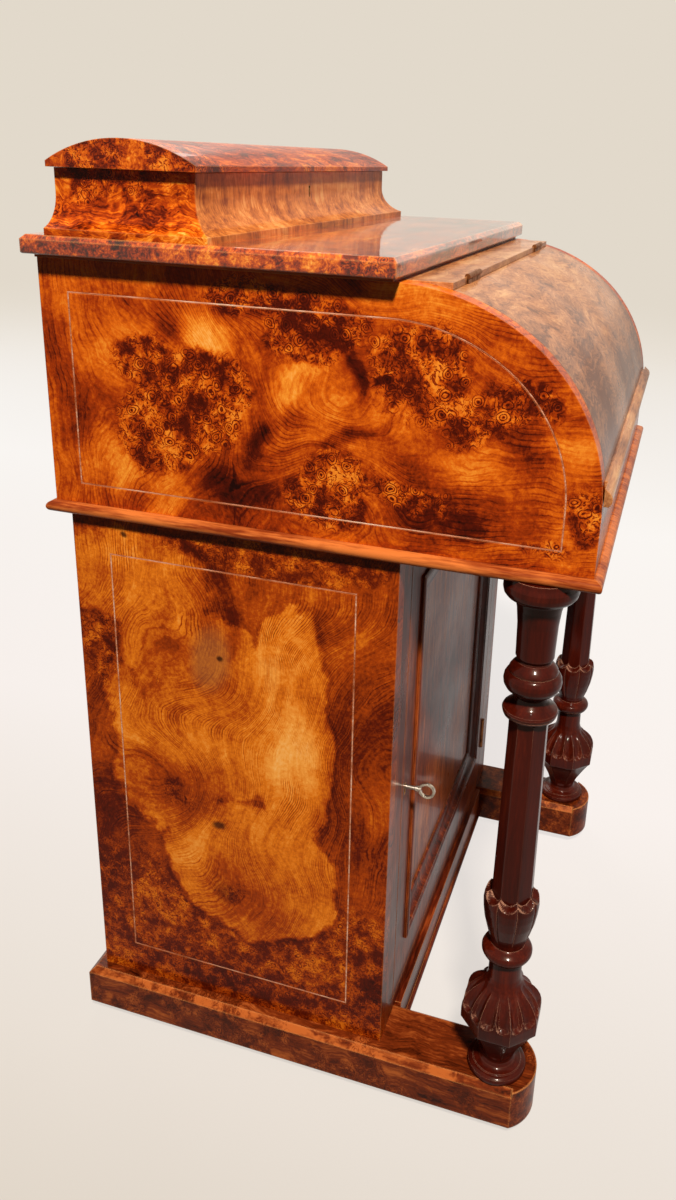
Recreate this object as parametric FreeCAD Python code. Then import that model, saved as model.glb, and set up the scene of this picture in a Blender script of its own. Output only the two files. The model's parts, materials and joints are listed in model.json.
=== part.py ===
import FreeCAD, Part
import math
import os

V = FreeCAD.Vector
os.makedirs("parts", exist_ok=True)

# A Victorian piano-top davenport: a small desk on two sled feet.  The sitter faces +Y, so the front
# is -Y and the sitter's left is -X.  The origin is on the floor, at the middle of the desk.
# Every length is in millimetres and every angle in degrees.

# ---------------------------------------------------------------- driving sizes: the upper case
case_width = 550.0          # over the two side panels
case_depth = 528.0
case_side_thick = 20.0
case_back_thick = 10.0
case_bottom_thick = 11.0
moulding_out = 8.0          # how far the base moulding stands out from the case
moulding_lap = 12.0         # how far it laps under the case
front_straight = 57.0       # upright part of the side panel's front edge
curve_depth = 190.0         # the quarter-oval front: along Y
curve_height = 178.0        # and along Z
curve_low_r = 172.0         # radius of its lower arc
front_rail_height = 64.5
front_rail_thick = 18.0

# ---------------------------------------------------------------- the feet and the castors
floor_gap = 14.0            # clear height under the sleds
sled_width = 74.0
sled_height = 49.0
sled_inset = 24.3           # from the case side to the sled's centre line
sled_chamfer = 6.5
sled_nose_setback = 23.0    # from the case front to the root of the rounded nose
sled_nose_rise = 20.0
sled_tail = 0.6             # how far the sleds run past the case back
castor_wheel_r = 11.0
castor_wheel_width = 11.0
castor_trail = 9.0
castor_axle_r = 2.0
castor_stem_r = 3.0
castor_cheek = 1.8
castor_cheek_gap = 0.5      # each side of the wheel
castor_crown = 4.0
castor_wheel_clear = 2.0    # between the wheel and the crown
castor_running = 0.05       # radial clearance of stem and axle
castor_plate_r = 19.0
castor_plate_thick = 2.5
castor_pocket_r = 24.0
castor_front_y = 65.0       # from the case front
castor_back_y = 475.0

# ---------------------------------------------------------------- the pedestal and its door
pedestal_setback = 172.0    # from the case front to the pedestal's front
pedestal_back_inset = 14.0
pedestal_side_inset = 3.4
pedestal_height = 573.0
pedestal_side_thick = 18.0
pedestal_back_thick = 8.0
frame_thick = 18.0
frame_top_rail = 18.0
frame_bottom_rail = 16.0
door_gap = 1.5
door_thick = 18.0
door_pass = 2.0             # between the swinging door and the far column
door_sight_width = 367.0    # between the stiles
door_bottom_rail = 55.0
door_top_rail = 35.0
door_panel_thick = 8.0
door_panel_tongue = 6.0
door_panel_recess = 7.0
door_moulding_width = 32.5
door_moulding_lap = 4.0
door_moulding_proud = 4.0
shelf_thick = 12.0
shelf_housing = 5.0
shelf_levels = (0.33, 0.68)  # of the cupboard's height
rail_ledge = 7.0            # how far the plinth rail stands in front of the pedestal
rail_lift = 5.0             # underside of the plinth rail above the underside of the sleds
rail_fillet = 4.0
rail_back_thick = 14.0

# ---------------------------------------------------------------- the lock, the bolt and the key
key_height = 295.0          # above the top of the sleds
key_backset = 9.0           # from the door's edge
key_stem_r = 2.2
key_stem_out = 16.0         # stem showing in front of the door
key_bow_r = 9.0             # outer radius of the ring
key_bow_wire = 1.3
key_bit_reach = 8.5
key_bit_thick = 2.2
lock_width = 38.0
lock_height = 44.0
lock_depth = 11.0
lock_wall = 1.5
bolt_height = 8.0
bolt_thick = 5.0
keyhole_clear = 0.8

# ---------------------------------------------------------------- the columns
column_y = 46.0             # from the case front
column_out = 3.5            # outwards from the sled's centre line
column_tenon_r = 9.0
column_tenon = 9.0
# Levels of the lower turnings are above the sled.
column_foot_r = 31.4
column_foot_rise = 10.5
column_waist_r = 17.2
column_waist_level = 17.0
column_skirt_r = 18.5       # root of the eight-sided skirt under the bulb
column_skirt_level = 21.0
column_rim_r = 39.6         # across flats of the rim, halved
column_rim_level = 66.0
column_melon_level = 78.0
column_shoulder_r = 30.0
column_shoulder_level = 104.0
column_throat_level = 119.0
column_flute_r = 9.0
column_flute_depth = 2.4
column_ring_r = 25.8
column_ring_level = 157.0
column_ring_half = 8.0
column_tulip_r = 28.2
column_tulip_level = 219.0
column_petal_r = 24.5       # where the shaft goes into the petals
column_petal_level = 231.0
column_shaft_foot = 19.4
column_shaft_level = 236.0
# Levels of the upper turnings are below the case.
column_shaft_top = 17.6
column_shaft_drop = 150.0
column_collar_r = 26.0
column_collar_drop = 136.0
column_notch_r = 15.0
column_notch_drop = 122.0
column_bulb_r = 27.0
column_bulb_drop = 105.0
column_neck_r = 18.0
column_neck_drop = 80.0
column_cap_r = 34.0
column_cap_drop = 22.0

# ---------------------------------------------------------------- the top board and its slip
board_side_over = 15.8
board_back_over = 5.6
board_setback = 180.0
board_thick = 17.0
board_chamfer = 4.0
slip_thick = 3.4
slip_inset = 12.0           # from the board's edge
top_rail_thick = 18.0
top_rail_width = 60.0

# ---------------------------------------------------------------- the piano fall
fall_joint_y = 141.0        # from the case front to the hinge line
fall_thick = 18.0
fall_side_gap = 0.6
fall_joint_gap = 0.6
fall_foot_gap = 0.5
lip_height = 16.0
lip_out = 7.4
lip_clear = 0.3
lip_tongue = 3.0

# ---------------------------------------------------------------- the stationery box
box_length = 573.4
box_back_inset = 18.1       # from the case back
box_depth = 161.6
box_base_fillet = 6.0
box_cove = 21.7             # how far the concave walls draw in
box_cove_height = 30.0
box_height = 57.3           # the box without its lid
box_wall = 8.0
box_housing = 1.5           # the walls stand this deep in the board
lid_end_over = 7.6
lid_front_over = 5.0
lid_back_over = 3.4
lid_edge = 5.2              # upright front edge of the lid
lid_rise = 20.5
lid_wall = 7.0
lid_gap = 0.4
box_divider_thick = 5.0
box_divider_height = 32.0

# ---------------------------------------------------------------- the writing slide, drawers, pigeonholes
slide_thick = 16.0
slide_clear = 1.0
slide_side_clear = 2.0
slide_front_y = 24.0        # tips of its knobs, from the case front
slide_back_clear = 21.0     # behind it, to the case back
leather_margin = 32.0
leather_length = 270.0
leather_thick = 0.8
knob_r = 8.0
knob_length = 13.0
knob_neck_r = 3.5
slide_knob_r = 5.6
runner_width = 14.0
runner_thick = 12.0
kicker_thick = 9.0
kicker_front_y = 70.0       # from the case front
nest_depth = 185.0          # pigeonholes and drawers, from the case back
nest_board = 6.0
nest_divider = 5.0
nest_bays = 5
drawer_height = 42.0
drawer_gap = 0.6
drawer_wall = 6.0

# ---------------------------------------------------------------- hinges and inlay
hinge_pin_r = 1.1
hinge_knuckle_r = 2.6
hinge_leaf_thick = 1.0
hinge_leaf_width = 13.0
hinge_running = 0.05        # radial clearance round the pin
hinge_end_gap = 0.3
fall_hinge_inset = 75.0      # from each end of the joint to a hinge's middle
lid_hinge_inset = 110.0
door_hinge_inset = 75.0
hinge_length = 48.0
string_width = 1.2
string_depth = 0.7
upper_string_inset = 29.5
upper_string_foot = 20.0
lower_string_inset = 40.5

# ---------------------------------------------------------------- levels and planes that follow
half = case_width / 2
front = -case_depth / 2
back = case_depth / 2
inner = half - case_side_thick
sled_top = floor_gap + sled_height
pedestal_top = sled_top + pedestal_height
case_foot = pedestal_top + case_bottom_thick
curve_spring = case_foot + front_straight
case_top = curve_spring + curve_height
board_foot = case_top + slip_thick
board_top = board_foot + board_thick
rail_top = case_foot + front_rail_height
fall_foot = rail_top + fall_foot_gap
sled_x = half - sled_inset
column_x = sled_x + column_out
sled_inner = sled_x - sled_width / 2
ped_half = half - pedestal_side_inset
ped_inner = ped_half - pedestal_side_thick
ped_front = front + pedestal_setback
ped_back = back - pedestal_back_inset


def widest_door():
    """Half width of the widest door whose free edge swings past the bulb of the far column."""
    ahead = pedestal_setback - column_y
    reach = column_rim_r / math.cos(math.pi / 8) + door_pass
    b = 4 * reach - 2 * column_x
    c = column_x ** 2 + ahead ** 2 - reach ** 2
    return (math.sqrt(b * b + 12 * c) - b) / 6


door_half = min(widest_door(), ped_inner - door_gap - 10)
frame_half = door_half + door_gap
door_foot = sled_top + frame_bottom_rail + door_gap
door_top = pedestal_top - frame_top_rail - door_gap
key_x = -door_half + key_backset
key_z = sled_top + key_height
slide_foot = rail_top + slide_clear
slide_top = slide_foot + slide_thick
slide_front = front + slide_front_y + knob_length
slide_back = back - case_back_thick - slide_back_clear
nest_foot = slide_top + slide_clear / 2 + kicker_thick
nest_top = case_top - top_rail_thick
nest_front = back - case_back_thick - nest_depth
box_back = back - box_back_inset
box_front_face = box_back - box_depth
box_seat = board_top - box_housing
box_rim = board_top + box_height
box_half = box_length / 2
box_upper_half = box_half - box_cove
box_upper_front = box_front_face + box_cove
lid_half = box_upper_half + lid_end_over
lid_front = box_upper_front - lid_front_over
lid_back = box_back + lid_back_over


# ---------------------------------------------------------------- small helpers
def block(x0, x1, y0, y1, z0, z1):
    """A box given by its two limits along each axis."""
    return Part.makeBox(x1 - x0, y1 - y0, z1 - z0, V(x0, y0, z0))


def rod(base, direction, radius, length):
    return Part.makeCylinder(radius, length, base, direction)


def mirrored(shape):
    """The same shape on the other side of the desk's middle plane."""
    return shape.mirror(V(0, 0, 0), V(1, 0, 0))


def fuse_all(shapes):
    whole = shapes[0]
    for shape in shapes[1:]:
        whole = whole.fuse(shape)
    return whole.removeSplitter()


def save(node, *shapes):
    """One sub-part, as one solid or as a group of separate solids."""
    group = shapes[0] if len(shapes) == 1 else Part.makeCompound(list(shapes))
    group.exportStep("parts/" + node + ".step")


class Outline:
    """A closed outline of straight runs and arcs in the plane named by its two axes."""

    def __init__(self, plane, start):
        self.plane = plane
        self.here = start
        self.start = start
        self.edges = []

    def point(self, pair):
        place = dict(zip(self.plane, pair))
        return V(place.get("x", 0), place.get("y", 0), place.get("z", 0))

    def line(self, *pairs):
        for pair in pairs:
            self.edges.append(Part.LineSegment(self.point(self.here), self.point(pair)).toShape())
            self.here = pair
        return self

    def arc(self, via, end):
        arc = Part.Arc(self.point(self.here), self.point(via), self.point(end))
        self.edges.append(arc.toShape())
        self.here = end
        return self

    def bend(self, via, end, steps=2):
        """The arc through via to end, cut as a few straight facets.  Small turned rounds are made so."""
        arc = Part.Arc(self.point(self.here), self.point(via), self.point(end))
        curve = arc.toShape().Curve
        first = curve.parameter(self.point(self.here))
        last = curve.parameter(self.point(end))
        if last <= first:
            last += 2 * math.pi
        for step in range(1, steps):
            place = curve.value(first + (last - first) * step / steps)
            values = {"x": place.x, "y": place.y, "z": place.z}
            self.line(tuple(values[axis] for axis in self.plane))
        return self.line(end)

    def face(self):
        if self.here != self.start:
            self.line(self.start)
        return Part.Face(Part.Wire(self.edges))


def extrude_x(outline, x0, x1):
    solid = outline.face().extrude(V(x1 - x0, 0, 0))
    solid.translate(V(x0, 0, 0))
    return solid


def extrude_y(outline, y0, y1):
    solid = outline.face().extrude(V(0, y1 - y0, 0))
    solid.translate(V(0, y0, 0))
    return solid


def extrude_z(outline, z0, z1):
    solid = outline.face().extrude(V(0, 0, z1 - z0))
    solid.translate(V(0, 0, z0))
    return solid


def sag_arc(a, b, rise):
    """The middle point of an arc from a to b that bulges by rise to the left of the way a to b."""
    dx = b[0] - a[0]
    dy = b[1] - a[1]
    span = math.hypot(dx, dy)
    return ((a[0] + b[0]) / 2 - dy / span * rise, (a[1] + b[1]) / 2 + dx / span * rise)


# ---------------------------------------------------------------- butt hinges
class Hinge:
    """A butt hinge.  Its leaves lie each side of a joint and run along `into` from the knuckle.

    `axis` is the pin's line, `normal` points from the moving piece to the fixed piece.
    """

    def __init__(self, middle, axis, into, normal, joint_gap, set_out):
        self.middle = middle
        self.axis = axis
        self.into = into
        self.normal = normal
        self.joint_gap = joint_gap
        self.set_out = set_out      # from the pin's line to the edge of the wood

    def slab(self, along, u0, u1, n0, n1):
        """A plate between two limits along the axis, the leaf's way and the joint's normal."""
        corners = []
        for u, n in ((u0, n0), (u1, n0), (u1, n1), (u0, n1)):
            corners.append(self.middle + self.axis * along[0] + self.into * u + self.normal * n)
        corners.append(corners[0])
        face = Part.Face(Part.makePolygon(corners))
        return face.extrude(self.axis * (along[1] - along[0]))

    def barrel(self, along, radius):
        base = self.middle + self.axis * along[0]
        return rod(base, self.axis, radius, along[1] - along[0])

    def spans(self):
        """Three knuckles: the middle one turns with the moving leaf."""
        third = hinge_length / 3
        ends = (-hinge_length / 2, -hinge_length / 2 + third, hinge_length / 2 - third, hinge_length / 2)
        gap = hinge_end_gap / 2
        return [(ends[0], ends[1] - gap), (ends[1] + gap, ends[2] - gap), (ends[2] + gap, ends[3])]

    def leaf(self, side, own, others):
        inside = self.joint_gap / 2
        outside = inside + hinge_leaf_thick
        n0, n1 = (inside, outside) if side > 0 else (-outside, -inside)
        whole = (-hinge_length / 2, hinge_length / 2)
        plate = self.slab(whole, 0, self.set_out + hinge_leaf_width, n0, n1)
        for span in others:
            wide = (span[0] - hinge_end_gap, span[1] + hinge_end_gap)
            plate = plate.cut(self.barrel(wide, hinge_knuckle_r + hinge_end_gap))
        return fuse_all([plate] + [self.barrel(span, hinge_knuckle_r) for span in own])

    def fixed(self):
        spans = self.spans()
        leaf = self.leaf(1, [spans[0], spans[2]], [spans[1]])
        return leaf.fuse(self.barrel((-hinge_length / 2, hinge_length / 2), hinge_pin_r))

    def moving(self):
        spans = self.spans()
        leaf = self.leaf(-1, [spans[1]], [spans[0], spans[2]])
        return leaf.cut(self.barrel((-hinge_length, hinge_length), hinge_pin_r + hinge_running))

    def recess(self, side):
        """What is cut from the wood on one side of the joint."""
        inside = self.joint_gap / 2 - 1
        outside = self.joint_gap / 2 + hinge_leaf_thick
        n0, n1 = (inside, outside) if side > 0 else (-outside, -inside)
        whole = (-hinge_length / 2, hinge_length / 2)
        plate = self.slab(whole, 0, self.set_out + hinge_leaf_width, n0, n1)
        wide = (-hinge_length / 2 - hinge_end_gap, hinge_length / 2 + hinge_end_gap)
        return plate.fuse(self.barrel(wide, hinge_knuckle_r + 2 * hinge_end_gap))


def fall_hinges():
    """Two hinges in the joint between the hinge rail and the fall, pins level with the surface."""
    place = inner - fall_hinge_inset
    hinges = []
    for x in (-place, place):
        middle = V(x, front + fall_joint_y, case_top)
        hinges.append(Hinge(middle, V(1, 0, 0), V(0, 0, -1), V(0, 1, 0), fall_joint_gap, 0))
    return hinges


def lid_hinges():
    """Two hinges between the box's back and its lid."""
    place = lid_half - lid_hinge_inset
    hinges = []
    for x in (-place, place):
        middle = V(x, lid_back + hinge_knuckle_r, box_rim + lid_gap / 2)
        set_out = hinge_knuckle_r + lid_back_over
        hinges.append(Hinge(middle, V(1, 0, 0), V(0, -1, 0), V(0, 0, -1), lid_gap, set_out))
    return hinges


def door_hinges():
    """Two hinges on the sitter's right of the cupboard door."""
    place = (door_top - door_foot) / 2 - door_hinge_inset
    hinges = []
    for z in (-place, place):
        middle = V(frame_half - door_gap / 2, ped_front - 1, (door_top + door_foot) / 2 + z)
        hinges.append(Hinge(middle, V(0, 0, 1), V(0, 1, 0), V(1, 0, 0), door_gap, 1))
    return hinges


def cut_hinges(wood, hinges, side):
    for hinge in hinges:
        wood = wood.cut(hinge.recess(side))
    return wood


# ---------------------------------------------------------------- castors
def castor_places():
    return {
        "front_left": (-sled_x, front + castor_front_y),
        "front_right": (sled_x, front + castor_front_y),
        "back_left": (-sled_x, front + castor_back_y),
        "back_right": (sled_x, front + castor_back_y),
    }


def castor_crown_foot():
    return 2 * castor_wheel_r + castor_wheel_clear


def castor_pocket_top():
    """Roof of the pocket: room for the wheel, the crown and the plate."""
    return castor_crown_foot() + castor_crown + castor_cheek_gap + castor_plate_thick


def castor_plate(x, y):
    top = castor_pocket_top()
    plate = rod(V(x, y, top - castor_plate_thick), V(0, 0, 1), castor_plate_r, castor_plate_thick)
    return plate.cut(rod(V(x, y, 0), V(0, 0, 1), castor_stem_r + castor_running, top))


def castor_fork(x, y):
    """Crown, stem, two cheeks and the axle, which is riveted into the cheeks."""
    foot = castor_crown_foot()
    reach = castor_wheel_width / 2 + castor_cheek_gap
    wide = reach + castor_cheek
    boss = castor_axle_r + castor_cheek
    far = castor_trail + boss
    stem = rod(V(x, y, foot), V(0, 0, 1), castor_stem_r, castor_pocket_top() - castor_cheek_gap - foot)
    plan = Outline("xy", (x - wide, y + far)).line((x - wide, y), (x - 0.6 * wide, y - wide))
    plan.line((x + 0.6 * wide, y - wide), (x + wide, y), (x + wide, y + far))
    crown = extrude_z(plan, foot, foot + castor_crown)
    axle = rod(V(x - wide, y + castor_trail, castor_wheel_r), V(1, 0, 0), castor_axle_r, 2 * wide)
    cheeks = []
    for x0 in (x - wide, x + reach):
        shape = Outline("yz", (y, foot)).line((y + castor_trail - boss, castor_wheel_r))
        shape.bend((y + castor_trail, castor_wheel_r - boss), (y + far, castor_wheel_r), 4)
        shape.line((y + far, foot))
        cheeks.append(extrude_x(shape, x0, x0 + castor_cheek))
    return fuse_all([crown, stem, axle] + cheeks)


def castor_wheel(x, y):
    """A plain wheel that turns on the fork's axle."""
    start = V(x - castor_wheel_width / 2, y + castor_trail, castor_wheel_r)
    wheel = rod(start, V(1, 0, 0), castor_wheel_r, castor_wheel_width)
    return wheel.cut(rod(start, V(1, 0, 0), castor_axle_r + castor_running, castor_wheel_width))


# ---------------------------------------------------------------- the base: sleds and plinth rails
def sled():
    """The left sled: a beam with chamfered top edges, a rounded nose and two castor pockets."""
    x0 = -sled_x - sled_width / 2
    x1 = -sled_x + sled_width / 2
    root = front + sled_nose_setback
    tail = back + sled_tail
    plan = Outline("xy", (x0, tail)).line((x0, root))
    plan.arc((-sled_x, root - sled_nose_rise), (x1, root)).line((x1, tail))
    beam = extrude_z(plan, floor_gap, sled_top)
    c = sled_chamfer
    long_edge = Outline("xz", (x0, sled_top - c)).line((x0, sled_top), (x0 + c, sled_top))
    tail_edge = Outline("yz", (tail, sled_top - c)).line((tail, sled_top), (tail - c, sled_top))
    left_cut = extrude_y(long_edge, root, tail + 1)
    right_cut = left_cut.mirror(V(-sled_x, 0, 0), V(1, 0, 0))
    beam = beam.cut(left_cut).cut(right_cut).cut(extrude_x(tail_edge, x0 - 1, x1 + 1))
    for x, y in castor_places().values():
        if x < 0:
            depth = castor_pocket_top() - floor_gap
            beam = beam.cut(rod(V(x, y, floor_gap), V(0, 0, 1), castor_pocket_r, depth))
    socket = rod(V(-column_x, front + column_y, sled_top - column_tenon), V(0, 0, 1), column_tenon_r,
                 column_tenon + 1)
    return beam.cut(socket)


def plinth_rail_front():
    """Cross rail between the sleds, with a proud bead along its foot."""
    y0 = ped_front - rail_ledge
    y1 = ped_front + frame_thick
    foot = floor_gap + rail_lift
    f = rail_fillet
    shape = Outline("yz", (y0, sled_top)).line((y0, foot + 2 * f))
    shape.arc((y0 - f, foot + f), (y0, foot)).line((y1, foot), (y1, sled_top))
    return extrude_x(shape, -sled_inner, sled_inner)


def plinth_rail_back():
    return block(-sled_inner, sled_inner, ped_back - rail_back_thick, ped_back,
                 floor_gap + rail_lift, sled_top)


# ---------------------------------------------------------------- the inlaid stringing
def oval_centres():
    """Centres and radii of the two tangent arcs that make the quarter-oval front."""
    low = curve_low_r
    wide = curve_depth - low
    high = (wide ** 2 + curve_height ** 2 - low ** 2) / (2 * (curve_height - low))
    low_centre = (front + low, curve_spring)
    high_centre = (front + curve_depth, curve_spring + curve_height - high)
    return low_centre, low, high_centre, high


def curved_panel(inset, foot, rear):
    """The side panel's outline, drawn in by inset, between a foot level and a rear plane."""
    low_centre, low, high_centre, high = oval_centres()
    low -= inset
    high -= inset
    turn = math.atan2(low_centre[1] - high_centre[1], high_centre[0] - low_centre[0])

    def on(centre, radius, angle):
        return (centre[0] - radius * math.cos(angle), centre[1] + radius * math.sin(angle))

    spring = on(low_centre, low, 0)
    crown = on(high_centre, high, math.pi / 2)
    shape = Outline("yz", spring)
    shape.arc(on(low_centre, low, turn / 2), on(low_centre, low, turn))
    shape.arc(on(high_centre, high, (turn + math.pi / 2) / 2), crown)
    return shape.line((rear, crown[1]), (rear, foot), (spring[0], foot))


def curved_slab(inset, foot, rear, x0, x1):
    return extrude_x(curved_panel(inset, foot, rear), x0, x1)


def upper_string():
    """The line let into the upper side panel, on the desk's left."""
    i = upper_string_inset
    w = string_width
    foot = case_foot + upper_string_foot
    outer = curved_slab(i, foot, back - i, -half, -half + string_depth)
    hole = curved_slab(i + w, foot + w, back - i - w, -half - 1, -half + string_depth + 1)
    return outer.cut(hole)


def lower_string():
    i = lower_string_inset
    w = string_width
    x0 = -ped_half
    x1 = -ped_half + string_depth
    outer = block(x0, x1, ped_front + i, ped_back - i, sled_top + i, pedestal_top - i)
    i += w
    return outer.cut(block(x0 - 1, x1 + 1, ped_front + i, ped_back - i, sled_top + i, pedestal_top - i))


# ---------------------------------------------------------------- the pedestal
def cupboard_levels():
    """Undersides of the two shelves."""
    floor = sled_top + shelf_thick
    height = pedestal_top - floor
    return [floor + share * height for share in shelf_levels]


def pedestal_side():
    panel = block(-ped_half, -ped_inner, ped_front, ped_back, sled_top, pedestal_top)
    for level in cupboard_levels():
        groove = block(-ped_inner - shelf_housing, -ped_inner, ped_front + frame_thick + 2 * lock_depth,
                       ped_back - pedestal_back_thick, level, level + shelf_thick)
        panel = panel.cut(groove)
    return panel.cut(lower_string())


def shelves():
    boards = []
    reach = ped_inner + shelf_housing
    for level in cupboard_levels():
        boards.append(block(-reach, reach, ped_front + frame_thick + 2 * lock_depth,
                            ped_back - pedestal_back_thick, level, level + shelf_thick))
    return boards


def face_frame():
    """Two stiles and two rails round the door, between the side panels."""
    y0 = ped_front
    y1 = ped_front + frame_thick
    stile_left = block(-ped_inner, -frame_half, y0, y1, sled_top, pedestal_top)
    stile_right = block(frame_half, ped_inner, y0, y1, sled_top, pedestal_top)
    rail_foot = block(-frame_half, frame_half, y0, y1, sled_top, sled_top + frame_bottom_rail)
    rail_head = block(-frame_half, frame_half, y0, y1, pedestal_top - frame_top_rail, pedestal_top)
    return [stile_left, cut_hinges(stile_right, door_hinges(), 1), rail_foot, rail_head]


# ---------------------------------------------------------------- the cupboard door
def door_sight():
    """Inner edges of the door's stiles and rails: half width, foot and top."""
    return door_sight_width / 2, door_foot + door_bottom_rail, door_top - door_top_rail


def door_panel_space(clear):
    """The panel with its tongues, grown by a clearance."""
    w, z0, z1 = door_sight()
    t = door_panel_tongue + clear
    y0 = ped_front + door_panel_recess
    return block(-w - t, w + t, y0, y0 + door_panel_thick, z0 - t, z1 + t)


def keyhole(y0, y1, extra):
    """Round eye with a slot below it, along Y."""
    r = key_stem_r + keyhole_clear + extra
    w = key_bit_thick / 2 + keyhole_clear + extra
    eye = rod(V(key_x, y0, key_z), V(0, 1, 0), r, y1 - y0)
    drop = key_bit_reach + keyhole_clear + extra
    return eye.fuse(block(key_x - w, key_x + w, y0, y1, key_z - drop, key_z))


def door_frame():
    """Two stiles, tenoned over two rails, grooved for the panel."""
    w, z0, z1 = door_sight()
    y0 = ped_front
    y1 = ped_front + door_thick
    stile_left = block(-door_half, -w, y0, y1, door_foot, door_top)
    stile_right = block(w, door_half, y0, y1, door_foot, door_top)
    rail_foot = block(-w, w, y0, y1, door_foot, z0)
    rail_head = block(-w, w, y0, y1, z1, door_top)
    space = door_panel_space(0.0)
    stile_left = stile_left.cut(space).cut(keyhole(y0 - 1, y1 + 1, 0)).cut(escutcheon_space())
    stile_right = cut_hinges(stile_right.cut(space), door_hinges(), -1)
    return [stile_left, stile_right, rail_foot.cut(space), rail_head.cut(space)]


def door_moulding_section(origin, inward):
    """Bolection moulding: laps the frame, stands proud and falls to the panel."""
    lap = door_moulding_lap
    wide = door_moulding_width
    proud = door_moulding_proud
    drop = door_panel_recess
    pairs = [(-lap, 0), (-lap, proud - 1.5)]
    out = V(0, -1, 0)

    def at(u, n):
        return origin + inward * u + out * n

    edges = [Part.LineSegment(at(*pairs[0]), at(*pairs[1])).toShape()]
    edges.append(Part.Arc(at(-lap, proud - 1.5), at(0.5, proud), at(5, proud - 1.5)).toShape())
    edges.append(Part.LineSegment(at(5, proud - 1.5), at(7, proud - 1.5)).toShape())
    hollow_end = (wide - lap - 6, -drop + 3)
    via = sag_arc((7, proud - 1.5), hollow_end, -2.2)
    edges.append(Part.Arc(at(7, proud - 1.5), at(*via), at(*hollow_end)).toShape())
    end = (wide - lap, -drop)
    edges.append(Part.LineSegment(at(*hollow_end), at(hollow_end[0] + 1.5, hollow_end[1])).toShape())
    via = sag_arc((hollow_end[0] + 1.5, hollow_end[1]), end, 1.2)
    edges.append(Part.Arc(at(hollow_end[0] + 1.5, hollow_end[1]), at(*via), at(*end)).toShape())
    edges.append(Part.LineSegment(at(*end), at(0, -drop)).toShape())
    edges.append(Part.LineSegment(at(0, -drop), at(0, 0)).toShape())
    edges.append(Part.LineSegment(at(0, 0), at(-lap, 0)).toShape())
    return Part.Face(Part.Wire(edges))


def door_moulding():
    """Four mitred lengths round the panel."""
    w, z0, z1 = door_sight()
    y = ped_front
    lap = door_moulding_lap
    corners = [V(-w, y, z0), V(w, y, z0), V(w, y, z1), V(-w, y, z1)]
    inwards = [V(0, 0, 1), V(-1, 0, 0), V(0, 0, -1), V(1, 0, 0)]
    bars = []
    for i in range(4):
        a = corners[i]
        b = corners[(i + 1) % 4]
        way = (b - a).normalize()
        start = a - way * lap
        section = door_moulding_section(start, inwards[i])
        bars.append(mitre_both(section, start, b + way * lap, inwards[i], a, b))
    return bars


def mitre_both(section, start, end, inward, corner_a, corner_b):
    """Extrude a section from start to end and cut both ends on the corners' bisecting planes."""
    way = (end - start)
    size = way.Length
    unit = V(way.x / size, way.y / size, way.z / size)
    bar = section.extrude(way)
    deep = unit.cross(inward) * (2 * size)
    for corner, run in ((corner_a, unit), (corner_b, unit * -1)):
        diagonal = inward + run
        points = [corner - diagonal * size, corner + diagonal * size,
                  corner + diagonal * size - run * (2 * size), corner - diagonal * size - run * (2 * size)]
        points.append(points[0])
        waste = Part.Face(Part.makePolygon([p - deep * 0.5 for p in points])).extrude(deep)
        bar = bar.cut(waste)
    return bar


def escutcheon_space():
    return keyhole(ped_front, ped_front + 1.0, 1.0)


def door_lock():
    """Lock case on the back of the stile, and the brass lining let in round the keyhole."""
    y0 = ped_front + door_thick
    x0 = -door_half + 1.5
    z0 = key_z - lock_height / 2
    case = block(x0, x0 + lock_width, y0, y0 + lock_depth, z0, z0 + lock_height)
    t = lock_wall
    hollow = block(x0 + t, x0 + lock_width - t, y0 + t, y0 + lock_depth - t, z0 + t, z0 + lock_height - t)
    case = case.cut(hollow).cut(keyhole(y0 - 1, y0 + t, 0))
    b0, b1 = bolt_levels()
    clear = 0.3
    yb = bolt_front()
    slot = block(x0 - 1, x0 + t, yb - clear, yb + bolt_thick + clear, b0 - clear, b1 + clear)
    lining = escutcheon_space().cut(keyhole(ped_front - 1, ped_front + 2, 0))
    return [case.cut(slot), lining]


def bolt_levels():
    foot = key_z + key_bit_reach + 1.5
    return foot, foot + bolt_height


def bolt_front():
    return ped_front + door_thick + (lock_depth - bolt_thick) / 2


def lock_bolt():
    """The bolt drawn back: its nose is just inside the door's edge."""
    b0, b1 = bolt_levels()
    y0 = bolt_front()
    x0 = -door_half + 0.4
    bar = block(x0, x0 + lock_width - 8, y0, y0 + bolt_thick, b0, b1)
    nose = Outline("xy", (x0, y0)).line((x0 + 3, y0), (x0, y0 + 2))
    return bar.cut(extrude_z(nose, b0 - 1, b1 + 1))


def key():
    """Pipe key with a ring bow in line with its stem."""
    bow_y = ped_front - key_stem_out - key_bow_r + key_bow_wire
    stem_start = ped_front - key_stem_out - key_bow_wire
    stem_end = ped_front + door_thick + lock_depth - lock_wall - 0.6
    stem = rod(V(key_x, stem_start, key_z), V(0, 1, 0), key_stem_r, stem_end - stem_start)
    collar = rod(V(key_x, ped_front - key_stem_out + 2, key_z), V(0, 1, 0), key_stem_r + 1.1, 2.4)
    wire = Part.makePolygon(polygon(key_bow_wire, 4, 0))
    wire.rotate(V(0, 0, 0), V(1, 0, 0), 90)
    wire.translate(V(key_bow_r - key_bow_wire, 0, 0))
    ring = Part.Face(wire).revolve(V(0, 0, 0), V(0, 0, 1), 360)
    ring.rotate(V(0, 0, 0), V(0, 1, 0), 90)
    ring.translate(V(key_x, bow_y, key_z))
    t = key_bit_thick / 2
    bit_start = ped_front + door_thick + lock_wall + 0.8
    bit = block(key_x - t, key_x + t, bit_start, stem_end, key_z - key_bit_reach, key_z)
    ward = block(key_x - t - 1, key_x + t + 1, bit_start + 2.2, bit_start + 3.4,
                 key_z - key_bit_reach - 1, key_z - key_bit_reach + 3)
    return fuse_all([stem, collar, ring, bit.cut(ward)])


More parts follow.
